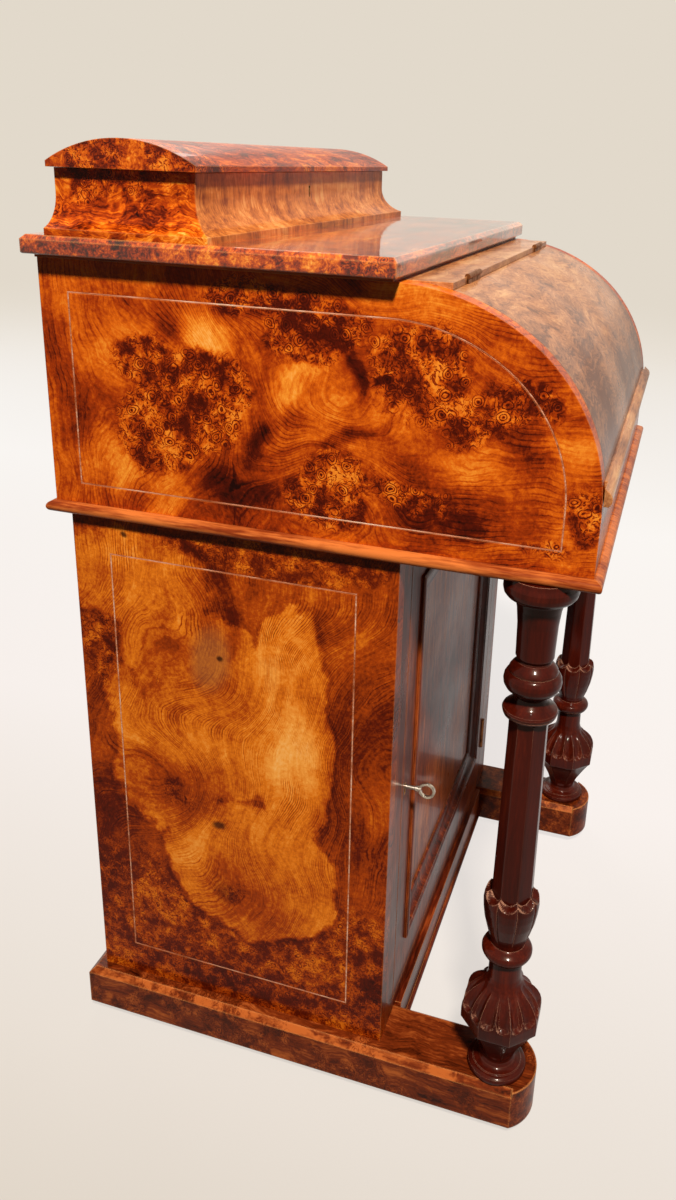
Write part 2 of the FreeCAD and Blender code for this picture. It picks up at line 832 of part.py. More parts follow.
# ---------------------------------------------------------------- the columns
def polygon(radius, sides, z):
    """The corners of a level polygon by its inscribed radius, with a flat towards the front."""
    corner = radius / math.cos(math.pi / sides)
    points = []
    for i in range(sides + 1):
        angle = math.pi / sides + i * 2 * math.pi / sides - math.pi / 2
        points.append(V(corner * math.cos(angle), corner * math.sin(angle), z))
    return points


def flat_face(points):
    return Part.Face(Part.makePolygon(points))


def eight_sided(rows):
    """Flat faces through level octagons, given as radius and level from the foot up."""
    rings = [polygon(radius, 8, level) for radius, level in rows]
    faces = [flat_face(rings[0]), flat_face(rings[-1])]
    for low, high in zip(rings, rings[1:]):
        for i in range(8):
            faces.append(flat_face([low[i], low[i + 1], high[i + 1], high[i], low[i]]))
    return Part.makeSolid(Part.makeShell(faces))


def turned(outline):
    return outline.face().revolve(V(0, 0, 0), V(0, 0, 1), 360)


def column_foot():
    """Round foot disc and the waist above it."""
    z = sled_top
    r = column_foot_r
    rise = column_foot_rise
    neck = column_waist_r
    foot = Outline("xz", (0, z)).line((r - 2, z))
    foot.line((r, z + 0.7 * rise), (neck, z + column_waist_level))
    foot.line((neck, z + column_skirt_level + 1), (0, z + column_skirt_level + 1))
    return turned(foot)


def column_skirt():
    """Eight flat faces that rise and spread from the waist to the rim."""
    z = sled_top
    span = column_rim_level - column_skirt_level
    spread = column_rim_r - column_skirt_r
    rows = [(column_skirt_r, z + column_skirt_level),
            (column_skirt_r + 0.30 * spread, z + column_skirt_level + 0.34 * span),
            (column_skirt_r + 0.68 * spread, z + column_skirt_level + 0.68 * span),
            (column_rim_r, z + column_rim_level)]
    return eight_sided(rows)


def column_flute_cutter():
    """A round gouge laid along an arris of the bulb's shoulder, in the XZ plane."""
    low = V(column_rim_r / math.cos(math.pi / 8), 0, sled_top + column_melon_level - 4)
    high = V(column_shoulder_r / math.cos(math.pi / 8), 0, sled_top + column_shoulder_level)
    way = high - low
    unit = V(way.x / way.Length, 0, way.z / way.Length)
    out = V(unit.z, 0, -unit.x)
    bulge = 0.13 * way.Length
    axis = low + out * (bulge + column_flute_r - column_flute_depth)
    return rod(axis - unit * (0.4 * way.Length), unit, column_flute_r, 1.9 * way.Length)


def column_bulb():
    """Eight lobes that shoulder in from the rim to the throat, with a flute along each arris."""
    z = sled_top
    rows = [(column_rim_r, z + column_rim_level), (column_rim_r, z + column_melon_level),
            (0.93 * column_rim_r, z + 0.5 * (column_melon_level + column_shoulder_level)),
            (column_shoulder_r, z + column_shoulder_level), (column_waist_r, z + column_throat_level)]
    bulb = eight_sided(rows)
    cutter = column_flute_cutter()
    for i in range(8):
        flute = cutter.copy()
        flute.rotate(V(0, 0, 0), V(0, 0, 1), (i + 0.5) * 45)
        bulb = bulb.cut(flute)
    return bulb


def column_ring():
    """The turned ring and the waist below it."""
    z = sled_top + column_ring_level
    foot = sled_top + column_throat_level - 1
    half_rise = column_ring_half
    r = column_ring_r
    ring = Outline("xz", (0, foot)).line((column_waist_r, foot), (column_waist_r, z - half_rise))
    ring.line((r, z - 0.4 * half_rise), (r, z + 0.4 * half_rise), (column_waist_r + 2, z + half_rise))
    ring.line((0, z + half_rise))
    return turned(ring)


def column_shaft():
    """Eight petals above the ring, closing in on the tapering shaft that runs up to the collar."""
    z = sled_top
    root = column_ring_level + column_ring_half - 0.5
    span = column_tulip_level - root
    rows = [(column_waist_r + 1, z + root), (column_waist_r + 2.2, z + root + 0.16 * span),
            (0.87 * column_tulip_r, z + root + 0.52 * span), (column_tulip_r, z + column_tulip_level)]
    rows.append((column_petal_r, z + column_petal_level))
    rows.append((column_shaft_foot, z + column_shaft_level))
    rows.append((column_shaft_top, pedestal_top - column_shaft_drop))
    return eight_sided(rows)


def column_head():
    """Collar, bulb with a bead, plain neck and the cap under the case."""
    top = pedestal_top
    shaft = top - column_shaft_drop
    collar = top - column_collar_drop
    notch = top - column_notch_drop
    bulb = top - column_bulb_drop
    neck = top - column_neck_drop
    cap = top - column_cap_drop
    head = Outline("xz", (0, shaft)).line((column_shaft_top, shaft), (column_shaft_top, collar - 6))
    head.line((column_collar_r, collar - 3), (column_collar_r, collar + 2), (column_notch_r, notch))
    head.line((column_bulb_r, bulb - 5), (column_bulb_r, bulb + 2), (column_neck_r, neck - 6))
    head.line((column_neck_r, cap - 14), (column_cap_r, cap + 6), (column_cap_r, cap + 14))
    head.line((column_cap_r - 4, top), (0, top))
    return turned(head)


def column():
    """The left column, with a round tenon at each end."""
    tenons = rod(V(0, 0, sled_top - column_tenon), V(0, 0, 1), column_tenon_r,
                 pedestal_top - sled_top + 2 * column_tenon)
    turnings = [column_foot(), column_skirt(), column_bulb(), column_ring(), column_shaft()]
    whole = fuse_all(turnings + [column_head(), tenons])
    whole.translate(V(-column_x, front + column_y, 0))
    return whole


# ---------------------------------------------------------------- the upper case
def column_sockets(board):
    for x in (-column_x, column_x):
        board = board.cut(rod(V(x, front + column_y, pedestal_top - 1), V(0, 0, 1), column_tenon_r,
                              column_tenon + 1))
    return board


def case_bottom():
    lap = moulding_lap
    board = block(-half + lap, half - lap, front + lap, back - lap, pedestal_top, case_foot)
    return column_sockets(board)


def base_moulding():
    """Four mitred lengths of half-round moulding, lapped under the sides of the case."""
    lap = moulding_lap
    corners = [V(-half, front, pedestal_top), V(half, front, pedestal_top),
               V(half, back, pedestal_top), V(-half, back, pedestal_top)]
    inwards = [V(0, 1, 0), V(-1, 0, 0), V(0, -1, 0), V(1, 0, 0)]
    bars = []
    for i in range(4):
        a = corners[i]
        b = corners[(i + 1) % 4]
        way = (b - a).normalize()
        start = a - way * moulding_out
        out = inwards[i] * -1

        def at(n, z):
            return start + out * n + V(0, 0, z)

        top = case_bottom_thick
        edges = [Part.LineSegment(at(-lap, 0), at(moulding_out - 3, 0)).toShape()]
        edges.append(Part.Arc(at(moulding_out - 3, 0), at(moulding_out, top / 2 - 0.5),
                              at(moulding_out - 3, top - 1.5)).toShape())
        edges.append(Part.LineSegment(at(moulding_out - 3, top - 1.5), at(1.5, top)).toShape())
        edges.append(Part.LineSegment(at(1.5, top), at(-lap, top)).toShape())
        edges.append(Part.LineSegment(at(-lap, top), at(-lap, 0)).toShape())
        section = Part.Face(Part.Wire(edges))
        bar = mitre_both(section, start, b + way * moulding_out, inwards[i], a, b)
        bars.append(column_sockets(bar))
    return bars


def case_side():
    return curved_slab(0, case_foot, back, -half, -inner).cut(upper_string())


def case_back():
    return block(-inner, inner, back - case_back_thick, back, case_foot, case_top)


def front_rail():
    return block(-inner, inner, front, front + front_rail_thick, case_foot, rail_top)


def top_rails():
    """The hinge rail in front and a plain rail behind, level with the top of the sides."""
    y0 = front + fall_joint_y + fall_joint_gap / 2
    z0 = case_top - top_rail_thick
    y_end = front + board_setback + top_rail_width
    hinge_rail = cut_hinges(block(-inner, inner, y0, y_end, z0, case_top), fall_hinges(), 1)
    y1 = back - case_back_thick
    back_rail = block(-inner, inner, y1 - top_rail_width, y1, z0, case_top)
    return hinge_rail, back_rail


def board_slip():
    """Thin slip under the board, a shadow line on three sides."""
    x = half + board_side_over - slip_inset
    y0 = front + board_setback + slip_inset / 2
    return block(-x, x, y0, back + board_back_over - slip_inset / 2, case_top, board_foot)


def box_footprint():
    """The shallow housing in the board that the box's four walls stand in."""
    x = box_upper_half - box_wall
    whole = block(-box_half, box_half, box_front_face, box_back, box_seat, board_top + 1)
    return whole.cut(block(-x, x, box_upper_front + box_wall, box_back - box_wall, box_seat - 1, board_top + 2))


def top_board():
    x = half + board_side_over
    y0 = front + board_setback
    y1 = back + board_back_over
    c = board_chamfer
    board = block(-x, x, y0, y1, board_foot, board_top)
    top_edges = [edge for edge in board.Edges if edge.BoundBox.ZMin > board_top - 0.01]
    board = board.makeChamfer(c, top_edges)
    foot_edges = [edge for edge in board.Edges if edge.BoundBox.ZMax < board_foot + 0.01]
    return board.makeFillet(c / 2, foot_edges).cut(box_footprint())


# ---------------------------------------------------------------- the piano fall
def lip():
    """Projecting nosing along the fall's foot, across the ends of the side panels too."""
    y_back = front - lip_clear
    y_out = front - lip_out
    z0 = fall_foot
    z1 = fall_foot + lip_height
    shape = Outline("yz", (y_back, z0)).line((y_out + 3, z0))
    shape.arc((y_out, z0 + lip_height * 0.38), (y_out + 2, z0 + lip_height * 0.72))
    shape.line((y_back, z1))
    nosing = extrude_x(shape, -half, half)
    x = inner - fall_side_gap
    tongue = block(-x, x, y_back, front + lip_tongue, z0, z1)
    return nosing.fuse(tongue).removeSplitter()


def fall_shell():
    """The curved flap itself."""
    x = inner - fall_side_gap
    outer = curved_slab(0, case_foot, back, -x, x)
    hollow = curved_slab(fall_thick, case_foot - 1, back + 1, -x - 1, x + 1)
    shell = outer.cut(hollow)
    y_end = front + fall_joint_y - fall_joint_gap / 2
    shell = shell.common(block(-half, half, front - 1, y_end, fall_foot, case_top + 1))
    return cut_hinges(shell.cut(lip()), fall_hinges(), -1)


# ---------------------------------------------------------------- the stationery box
def cove_outline(plane, face, sign):
    """Section of a box wall: a base fillet, a concave sweep and an upright neck.

    `face` is the outermost line of the wall and `sign` points into the box.
    """
    fillet_top = board_top + box_base_fillet
    neck = fillet_top + box_cove_height
    wall = Outline(plane, (face, box_seat)).line((face, fillet_top))
    wall.arc((face + sign * box_cove * 0.70, fillet_top + box_cove_height * 0.36), (face + sign * box_cove, neck))
    wall.line((face + sign * box_cove, box_rim), (face + sign * (box_cove + box_wall), box_rim))
    wall.line((face + sign * (box_cove + box_wall), box_seat))
    return wall


def box_mitre_wedge(x_sign):
    """Everything on the end wall's side of the mitre at one front corner."""
    corner_x = x_sign * box_half
    corner_y = box_front_face
    far = 200.0
    foot = box_seat - 1
    points = [V(corner_x, corner_y, foot), V(corner_x - x_sign * far, corner_y + far, foot),
              V(corner_x + x_sign * far, corner_y + far, foot)]
    points.append(points[0])
    return Part.Face(Part.makePolygon(points)).extrude(V(0, 0, box_rim - foot + 1))


def box_front():
    wall = extrude_x(cove_outline("yz", box_front_face, 1), -box_half, box_half)
    for sign in (-1, 1):
        wall = wall.cut(box_mitre_wedge(sign))
    return wall.cut(box_keyhole(0)).cut(box_lock_case()).cut(box_lining())


def box_end():
    wall = extrude_y(cove_outline("xz", -box_half, 1), box_front_face, box_back)
    return wall.common(box_mitre_wedge(-1))


def box_keyhole(extra):
    """Upright slit in the front wall, rounded at the top."""
    z = board_top + 38
    y0 = box_front_face
    r = 2.0 + extra
    eye = rod(V(0, y0, z + 3), V(0, 1, 0), r, box_cove + box_wall + 1)
    return eye.fuse(block(-1.2 - extra, 1.2 + extra, y0, y0 + box_cove + box_wall + 1, z - 7 - extra, z + 3))


def box_lock_case():
    """Half-mortice lock let into the back of the front wall."""
    y1 = box_front_face + box_cove + box_wall
    return block(-20, 20, y1 - 4, y1, box_rim - 30, box_rim)


def box_lining():
    """Thin plate round the keyhole, let in flush with the front of the wall."""
    space = block(-10, 10, box_upper_front, box_upper_front + 1.2, board_top, box_rim)
    return box_keyhole(0.8).common(space).cut(box_keyhole(0))


def box_lock():
    return [box_lock_case().cut(box_keyhole(0)), box_lining()]


def box_back_board():
    x = box_upper_half - box_wall
    board = block(-x, x, box_back - box_wall, box_back, box_seat, box_rim)
    return cut_hinges(board, lid_hinges(), 1)


def box_dividers():
    """A long rack board and three cross boards, halved over it."""
    x = box_upper_half - box_wall
    y0 = box_upper_front + box_wall
    y1 = box_back - box_wall
    t = box_divider_thick
    top = board_top + box_divider_height
    middle = (y0 + y1) / 2
    long_board = block(-x, x, middle - t / 2, middle + t / 2, board_top, top)
    boards = []
    for share in (-1, 0, 1):
        centre = share * x / 2
        cross = block(centre - t / 2, centre + t / 2, y0, y1, board_top, top)
        boards.append(cross.cut(long_board))
    solids = [long_board]
    for cross in boards:
        solids += cross.Solids
    return solids


def lid_section(drop):
    """Barrel outline of the lid, drawn in by drop."""
    z0 = box_rim + lid_gap
    y0 = lid_front + drop
    y1 = lid_back - drop
    edge = z0 + lid_edge
    crown = edge + lid_rise - drop
    shape = Outline("yz", (y0, z0 - (1 if drop else 0)))
    shape.line((y0, edge))
    shape.arc(((y0 + y1) / 2, crown), (y1, edge))
    shape.line((y1, z0 - (1 if drop else 0)))
    return shape


def box_lid():
    """A hollow barrel lid with solid ends."""
    solid = extrude_x(lid_section(0), -lid_half, lid_half)
    hollow = extrude_x(lid_section(lid_wall + lid_front_over), -lid_half + 2 * lid_wall,
                       lid_half - 2 * lid_wall)
    return cut_hinges(solid.cut(hollow), lid_hinges(), -1)


# ---------------------------------------------------------------- inside the upper case
def turned_knob(base, radius):
    """A small turned knob whose axis runs from base towards -Y."""
    share = radius / knob_r
    length = knob_length * share
    neck = knob_neck_r * share
    shape = Outline("xy", (0, 0)).line((neck, 0), (neck, -0.3 * length))
    shape.line((radius, -0.5 * length), (radius, -0.8 * length), (0.55 * radius, -length), (0, -length))
    knob = shape.face().revolve(V(0, 0, 0), V(0, 1, 0), 360)
    knob.translate(base)
    return knob


def slide_knob_places():
    x = inner * 0.62
    return [V(sign * x, slide_front, slide_foot + slide_thick / 2) for sign in (-1, 1)]


def slide_board():
    x = inner - slide_side_clear
    board = block(-x, x, slide_front, slide_back, slide_foot, slide_top)
    return board.cut(leather())


def leather():
    m = leather_margin
    x = inner - slide_side_clear - m
    y0 = slide_front + m
    return block(-x, x, y0, y0 + leather_length, slide_top - leather_thick, slide_top)


def slide_knobs():
    return [turned_knob(place, slide_knob_r) for place in slide_knob_places()]


def slide_runners():
    """A runner under and a kicker over each side of the slide."""
    y0 = front + max(front_rail_thick, fall_thick) + 6
    y1 = back - case_back_thick
    strips = []
    for x0, x1 in ((-inner, -inner + runner_width), (inner - runner_width, inner)):
        strips.append(block(x0, x1, y0, y1, slide_foot - slide_clear / 2 - runner_thick,
                            slide_foot - slide_clear / 2))
        strips.append(block(x0, x1, front + kicker_front_y, y1, slide_top + slide_clear / 2, nest_foot))
    return strips


def nest_bay(i, count):
    """Limits along X of one bay of the pigeonholes."""
    x = inner - nest_board
    clear = (2 * x - (count - 1) * nest_divider) / count
    x0 = -x + i * (clear + nest_divider)
    return x0, x0 + clear


def nest_boards():
    """Floor, shelf and two ends."""
    y0 = nest_front
    y1 = back - case_back_thick
    shelf = nest_foot + nest_board + drawer_height
    boards = [block(-inner, inner, y0, y1, nest_foot, nest_foot + nest_board)]
    boards.append(block(-inner + nest_board, inner - nest_board, y0, y1, shelf, shelf + nest_board))
    for x0 in (-inner, inner - nest_board):
        boards.append(block(x0, x0 + nest_board, y0, y1, nest_foot + nest_board, nest_top))
    return boards


def nest_dividers():
    """Uprights between the pigeonholes, with swept fronts, and one between the drawers."""
    y0 = nest_front
    y1 = back - case_back_thick
    z0 = nest_foot + 2 * nest_board + drawer_height
    uprights = []
    for i in range(nest_bays - 1):
        x0 = nest_bay(i, nest_bays)[1]
        shape = Outline("yz", (y0, z0)).line((y1, z0), (y1, nest_top), (y0, nest_top))
        middle = (z0 + nest_top) / 2
        shape.arc((y0 + 22, middle), (y0, z0))
        uprights.append(extrude_x(shape, x0, x0 + nest_divider))
    x0 = nest_bay(0, 2)[1]
    uprights.append(block(x0, x0 + nest_divider, y0, y1, nest_foot + nest_board,
                          nest_foot + nest_board + drawer_height))
    return uprights


def drawer(i):
    """Box and front of one small drawer; the front is a piece of its own."""
    x0, x1 = nest_bay(i, 2)
    g = drawer_gap
    t = drawer_wall
    x0 += g
    x1 -= g
    y0 = nest_front + 1
    y1 = back - case_back_thick - 2
    z0 = nest_foot + nest_board + g
    z1 = nest_foot + nest_board + drawer_height - g
    face = block(x0, x1, y0, y0 + 1.5 * t, z0, z1)
    tray = block(x0, x1, y0 + 1.5 * t, y1, z0, z1)
    hollow = block(x0 + t, x1 - t, y0 + 1.5 * t - 1, y1 - t, z0 + t, z1 + 1)
    return [face, tray.cut(hollow)]


def drawer_knob(i):
    x0, x1 = nest_bay(i, 2)
    z = nest_foot + nest_board + drawer_height / 2
    return turned_knob(V((x0 + x1) / 2, nest_front + 1, z), knob_r)


# ---------------------------------------------------------------- write every sub-part
def write_base():
    left = sled()
    save("sled_left", left)
    save("sled_right", mirrored(left))
    plates = []
    for name, (x, y) in castor_places().items():
        plates.append(castor_plate(x, y))
        save("castor_fork_" + name, castor_fork(x, y))
        save("castor_wheel_" + name, castor_wheel(x, y))
    save("castor_plates", *plates)
    save("plinth_rail_front", plinth_rail_front())
    save("plinth_rail_back", plinth_rail_back())
    post = column()
    save("column_left", post)
    save("column_right", mirrored(post))


def write_pedestal():
    panel = pedestal_side()
    save("pedestal_side_left", panel)
    save("pedestal_side_right", mirrored(panel))
    save("pedestal_back", block(-ped_inner, ped_inner, ped_back - pedestal_back_thick, ped_back,
                                sled_top, pedestal_top))
    save("cupboard_floor", block(-ped_inner, ped_inner, ped_front + frame_thick,
                                 ped_back - pedestal_back_thick, sled_top, sled_top + shelf_thick))
    save("cupboard_shelves", *shelves())
    save("face_frame", *face_frame())
    save("door_frame", *door_frame())
    save("door_panel", door_panel_space(0.0))
    save("door_moulding", *door_moulding())
    save("door_lock", *door_lock())
    save("lock_bolt", lock_bolt())
    save("key", key())


def write_case():
    save("case_bottom", case_bottom())
    save("base_moulding", *base_moulding())
    side = case_side()
    save("case_side_left", side)
    save("case_side_right", mirrored(side))
    save("case_back", case_back())
    save("front_rail", front_rail())
    hinge_rail, back_rail = top_rails()
    save("hinge_rail", hinge_rail)
    save("top_back_rail", back_rail)
    save("board_slip", board_slip())
    save("top_board", top_board())
    strings = [upper_string(), lower_string()]
    save("stringing", *(strings + [mirrored(string) for string in strings]))
    save("fall_shell", fall_shell())
    save("fall_lip", lip())


def write_interior():
    save("slide_runners", *slide_runners())
    save("slide_board", slide_board())
    save("slide_leather", leather())
    save("slide_knobs", *slide_knobs())
    save("pigeonhole_boards", *nest_boards())
    save("pigeonhole_dividers", *nest_dividers())
    for i, name in enumerate(("left", "right")):
        face, tray = drawer(i)
        save("drawer_front_" + name, face, drawer_knob(i))
        save("drawer_box_" + name, tray)


def write_box():
    save("box_front", box_front())
    end = box_end()
    save("box_ends", end, mirrored(end))
    save("box_back", box_back_board())
    save("box_dividers", *box_dividers())
    save("box_lock", *box_lock())
    save("box_lid", box_lid())


def write_hinges():
    every = fall_hinges() + lid_hinges() + door_hinges()
    save("hinges_fixed_leaves", *[hinge.fixed() for hinge in every])
    save("fall_hinge_leaves", *[hinge.moving() for hinge in fall_hinges()])
    save("lid_hinge_leaves", *[hinge.moving() for hinge in lid_hinges()])
    save("door_hinge_leaves", *[hinge.moving() for hinge in door_hinges()])


write_base()
write_pedestal()
write_case()
write_interior()
write_box()
write_hinges()
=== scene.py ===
import json
import math

import bmesh
import bpy
from mathutils import Matrix, Vector

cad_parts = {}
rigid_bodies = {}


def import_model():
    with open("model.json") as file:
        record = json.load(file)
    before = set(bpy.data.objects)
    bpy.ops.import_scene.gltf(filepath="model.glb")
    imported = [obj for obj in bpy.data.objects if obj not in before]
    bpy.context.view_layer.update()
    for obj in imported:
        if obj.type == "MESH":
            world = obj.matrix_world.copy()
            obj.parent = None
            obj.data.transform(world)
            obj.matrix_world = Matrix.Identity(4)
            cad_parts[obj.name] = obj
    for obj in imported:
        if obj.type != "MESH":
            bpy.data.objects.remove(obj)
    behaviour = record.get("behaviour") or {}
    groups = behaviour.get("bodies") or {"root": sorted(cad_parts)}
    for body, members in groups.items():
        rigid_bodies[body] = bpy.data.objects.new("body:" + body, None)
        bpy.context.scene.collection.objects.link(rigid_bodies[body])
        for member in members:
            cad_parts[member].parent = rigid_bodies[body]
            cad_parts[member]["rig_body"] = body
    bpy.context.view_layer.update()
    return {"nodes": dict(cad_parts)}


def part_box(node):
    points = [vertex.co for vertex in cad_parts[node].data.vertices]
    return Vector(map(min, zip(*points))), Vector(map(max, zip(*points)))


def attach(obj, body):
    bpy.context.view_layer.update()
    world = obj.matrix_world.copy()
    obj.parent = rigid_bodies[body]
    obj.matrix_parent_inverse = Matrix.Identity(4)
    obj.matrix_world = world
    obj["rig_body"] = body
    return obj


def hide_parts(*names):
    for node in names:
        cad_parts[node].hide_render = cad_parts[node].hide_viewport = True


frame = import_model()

# A davenport desk in French-polished walnut.  Lengths are in metres, in the frame's own axes: +Z up, the
# sitter on the -Y side, -X at the sitter's left.
MM = 0.001
X, Y, Z = range(3)                 # the axis that a plain figure's grain runs along
SLED_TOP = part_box("sled_left")[1].z
FALL_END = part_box("fall_shell")[1].x


# ---------------------------------------------------------------- short calls for node trees
class Tree:
    """A material's node tree.  Values are output sockets, numbers, vectors or colours."""

    def __init__(self, name):
        self.material = bpy.data.materials.new(name)
        self.material.use_nodes = True
        self.nodes = self.material.node_tree.nodes
        self.links = self.material.node_tree.links
        self.nodes.clear()
        coordinates = self.add("ShaderNodeTexCoord")
        self.at = coordinates.outputs["Object"]
        self.facing = coordinates.outputs["Normal"]

    def add(self, kind, inputs=None, **settings):
        node = self.nodes.new(kind)
        for key, value in settings.items():
            setattr(node, key, value)
        for key, value in (inputs or {}).items():
            self.put(node.inputs[key], value)
        return node

    def put(self, socket, value):
        if isinstance(value, bpy.types.NodeSocket):
            self.links.new(value, socket)
        else:
            socket.default_value = value

    def math(self, operation, a, b=0.0):
        return self.add("ShaderNodeMath", {0: a, 1: b}, operation=operation).outputs[0]

    def vector(self, operation, a, b=(0, 0, 0), scale=1.0):
        node = self.add("ShaderNodeVectorMath", {0: a, 1: b}, operation=operation)
        if operation == "SCALE":
            self.put(node.inputs["Scale"], scale)
        return node.outputs["Value" if operation in ("LENGTH", "DOT_PRODUCT") else "Vector"]

    def split(self, vector):
        return self.add("ShaderNodeSeparateXYZ", {0: vector}).outputs

    def join(self, x, y, z):
        return self.add("ShaderNodeCombineXYZ", {0: x, 1: y, 2: z}).outputs[0]

    def noise(self, at, scale, detail=3.0, rough=0.55, warp=0.0):
        inputs = {"Vector": at, "Scale": scale, "Detail": detail, "Roughness": rough, "Distortion": warp}
        return self.add("ShaderNodeTexNoise", inputs).outputs["Fac"]

    def drift(self, at, scale, reach, detail=2.0):
        """The place moved by up to about `reach` by a smooth noise."""
        inputs = {"Vector": at, "Scale": scale, "Detail": detail}
        noise = self.add("ShaderNodeTexNoise", inputs).outputs["Color"]
        centred = self.vector("SUBTRACT", noise, (0.5, 0.5, 0.5))
        return self.vector("ADD", at, self.vector("SCALE", centred, scale=2 * reach))

    def stretch(self, at, scale):
        return self.add("ShaderNodeMapping", {0: at, "Scale": scale}).outputs[0]

    def span(self, value, low, high, out_low=0.0, out_high=1.0, smooth=True):
        inputs = {"Value": value, "From Min": low, "From Max": high, "To Min": out_low, "To Max": out_high}
        kind = "SMOOTHSTEP" if smooth else "LINEAR"
        return self.add("ShaderNodeMapRange", inputs, interpolation_type=kind).outputs[0]

    def patch(self, at, centre, radii, turn, core):
        """1 in the core of an ellipse in the YZ plane, falling smoothly to 0 at its edge, at any X."""
        rotation = (math.radians(turn), 0, 0)
        inputs = {0: at, "Location": (0,) + centre, "Rotation": rotation, "Scale": (10.0,) + radii}
        local = self.add("ShaderNodeMapping", inputs, vector_type="TEXTURE").outputs[0]
        return self.span(self.vector("LENGTH", local), 1.0, core)

    def lerp(self, factor, a, b):
        return self.add("ShaderNodeMix", {0: factor, 2: a, 3: b}, data_type="FLOAT").outputs[0]

    def mix(self, factor, a, b):
        return self.add("ShaderNodeMix", {0: factor, 6: a, 7: b}, data_type="RGBA").outputs[2]

    def ramp(self, factor, stops):
        node = self.add("ShaderNodeValToRGB", {0: factor})
        elements = node.color_ramp.elements
        while len(elements) < len(stops):
            elements.new(0.5)
        for element, (place, colour) in zip(elements, stops):
            element.position = place
            element.color = tuple(colour) + (1.0,)
        return node.outputs["Color"]

    def bump(self, height, distance, strength=1.0, normal=None):
        node = self.add("ShaderNodeBump", {"Height": height, "Distance": distance, "Strength": strength})
        if normal is not None:
            self.links.new(normal, node.inputs["Normal"])
        return node.outputs["Normal"]

    def rounded(self, radius):
        """A normal that turns smoothly over the edges, as a worn arris does."""
        return self.add("ShaderNodeBevel", {"Radius": radius}, samples=4).outputs["Normal"]

    def edge(self, radius):
        """1 on sharp outer edges, 0 on flat ground."""
        true = self.add("ShaderNodeNewGeometry").outputs["True Normal"]
        return self.span(self.vector("DOT_PRODUCT", self.rounded(radius), true), 0.995, 0.80)

    def shade(self, **sockets):
        """Ends the tree with one shader whose sockets are named with _ for a space."""
        shader = self.add("ShaderNodeBsdfPrincipled")
        for key, value in sockets.items():
            self.put(shader.inputs[key.replace("_", " ")], value)
        out = self.add("ShaderNodeOutputMaterial")
        self.links.new(shader.outputs[0], out.inputs["Surface"])
        return self.material


def colour(red, green, blue):
    """A colour written as it shows on a screen, 0 to 255, turned to linear light."""
    def linear(value):
        value /= 255
        return value / 12.92 if value <= 0.04045 else ((value + 0.055) / 1.055) ** 2.4
    return (linear(red), linear(green), linear(blue))


# ---------------------------------------------------------------- walnut
BURR_STOPS = ((0.00, colour(26, 2, 1)), (0.22, colour(84, 18, 3)), (0.42, colour(160, 54, 6)),
              (0.60, colour(214, 98, 14)), (0.78, colour(240, 146, 44)), (1.00, colour(248, 186, 100)))
GOLD_STOPS = ((0.00, colour(26, 3, 1)), (0.22, colour(92, 22, 3)), (0.42, colour(170, 66, 8)),
              (0.60, colour(226, 122, 24)), (0.78, colour(246, 164, 70)), (1.00, colour(252, 202, 126)))
SOLID_STOPS = ((0.05, colour(58, 16, 6)), (0.45, colour(132, 52, 18)), (0.85, colour(200, 108, 48)))
SLED_STOPS = ((0.05, colour(40, 8, 2)), (0.45, colour(112, 42, 12)), (0.85, colour(180, 92, 38)))
UPRIGHT_STOPS = ((0.05, colour(34, 6, 2)), (0.45, colour(96, 30, 9)), (0.85, colour(168, 76, 30)))
DARK_STOPS = ((0.05, colour(22, 2, 1)), (0.50, colour(66, 14, 5)), (0.95, colour(112, 36, 14)))
CURLY_STOPS = ((0.05, colour(132, 56, 16)), (0.50, colour(208, 120, 50)), (0.95, colour(242, 180, 106)))
TAN_STOPS = ((0.10, colour(128, 78, 44)), (0.50, colour(176, 124, 78)), (0.90, colour(210, 166, 120)))
FALL_STOPS = ((0.00, colour(96, 46, 20)), (0.45, colour(176, 112, 66)), (0.95, colour(220, 168, 112)))
STRING_STOPS = ((0.10, colour(150, 74, 40)), (0.45, colour(206, 130, 96)), (0.90, colour(240, 196, 168)))
# colours of the paler edges: partly wear, partly a painted highlight
EDGE_WEAR_AND_HIGHLIGHT = colour(232, 150, 84)
CARVING_WEAR_AND_HIGHLIGHT = colour(206, 150, 120)
PAPER = colour(226, 217, 203)
WARM = (1.0, 0.80, 0.62, 1.0)      # tint of the polish's gloss
GRAIN_DEPTH = 0.00005              # metres of bump, for pores and fine pits
RIPPLE_DEPTH = 0.0006              # metres of bump, for the polish's own waves


def polish(tree, base, grain, coat=0.06, edge_light=0.4, edge_radius=0.0012, gloss=0.06, coat_rough=0.05,
           worn_tint=EDGE_WEAR_AND_HIGHLIGHT):
    """French polish over wood: a thin clear coat, slightly uneven, with paler edges that are partly wear and
    partly a painted highlight.
    """
    normal = tree.rounded(edge_radius)
    ripple = tree.noise(tree.at, 26.0, 1.0)
    # paler edges, partly wear and partly a painted highlight along every edge
    worn = tree.math("MULTIPLY", tree.edge(edge_radius * 1.3), edge_light)
    base = tree.mix(worn, base, worn_tint + (1.0,))
    pores = tree.math("ADD", grain, tree.math("MULTIPLY", tree.noise(tree.at, 900.0, 2.0), 0.15))
    rough = tree.span(tree.noise(tree.at, 9.0, 4.0), 0.3, 0.75, 0.26, 0.40)
    return tree.shade(
        Base_Color=base,
        Roughness=rough,
        Specular_IOR_Level=gloss,
        Specular_Tint=WARM,
        Coat_Weight=coat,
        Coat_Roughness=coat_rough,
        Normal=tree.bump(pores, GRAIN_DEPTH, 0.6, normal),
        Coat_Normal=tree.bump(ripple, RIPPLE_DEPTH, 0.35, normal))


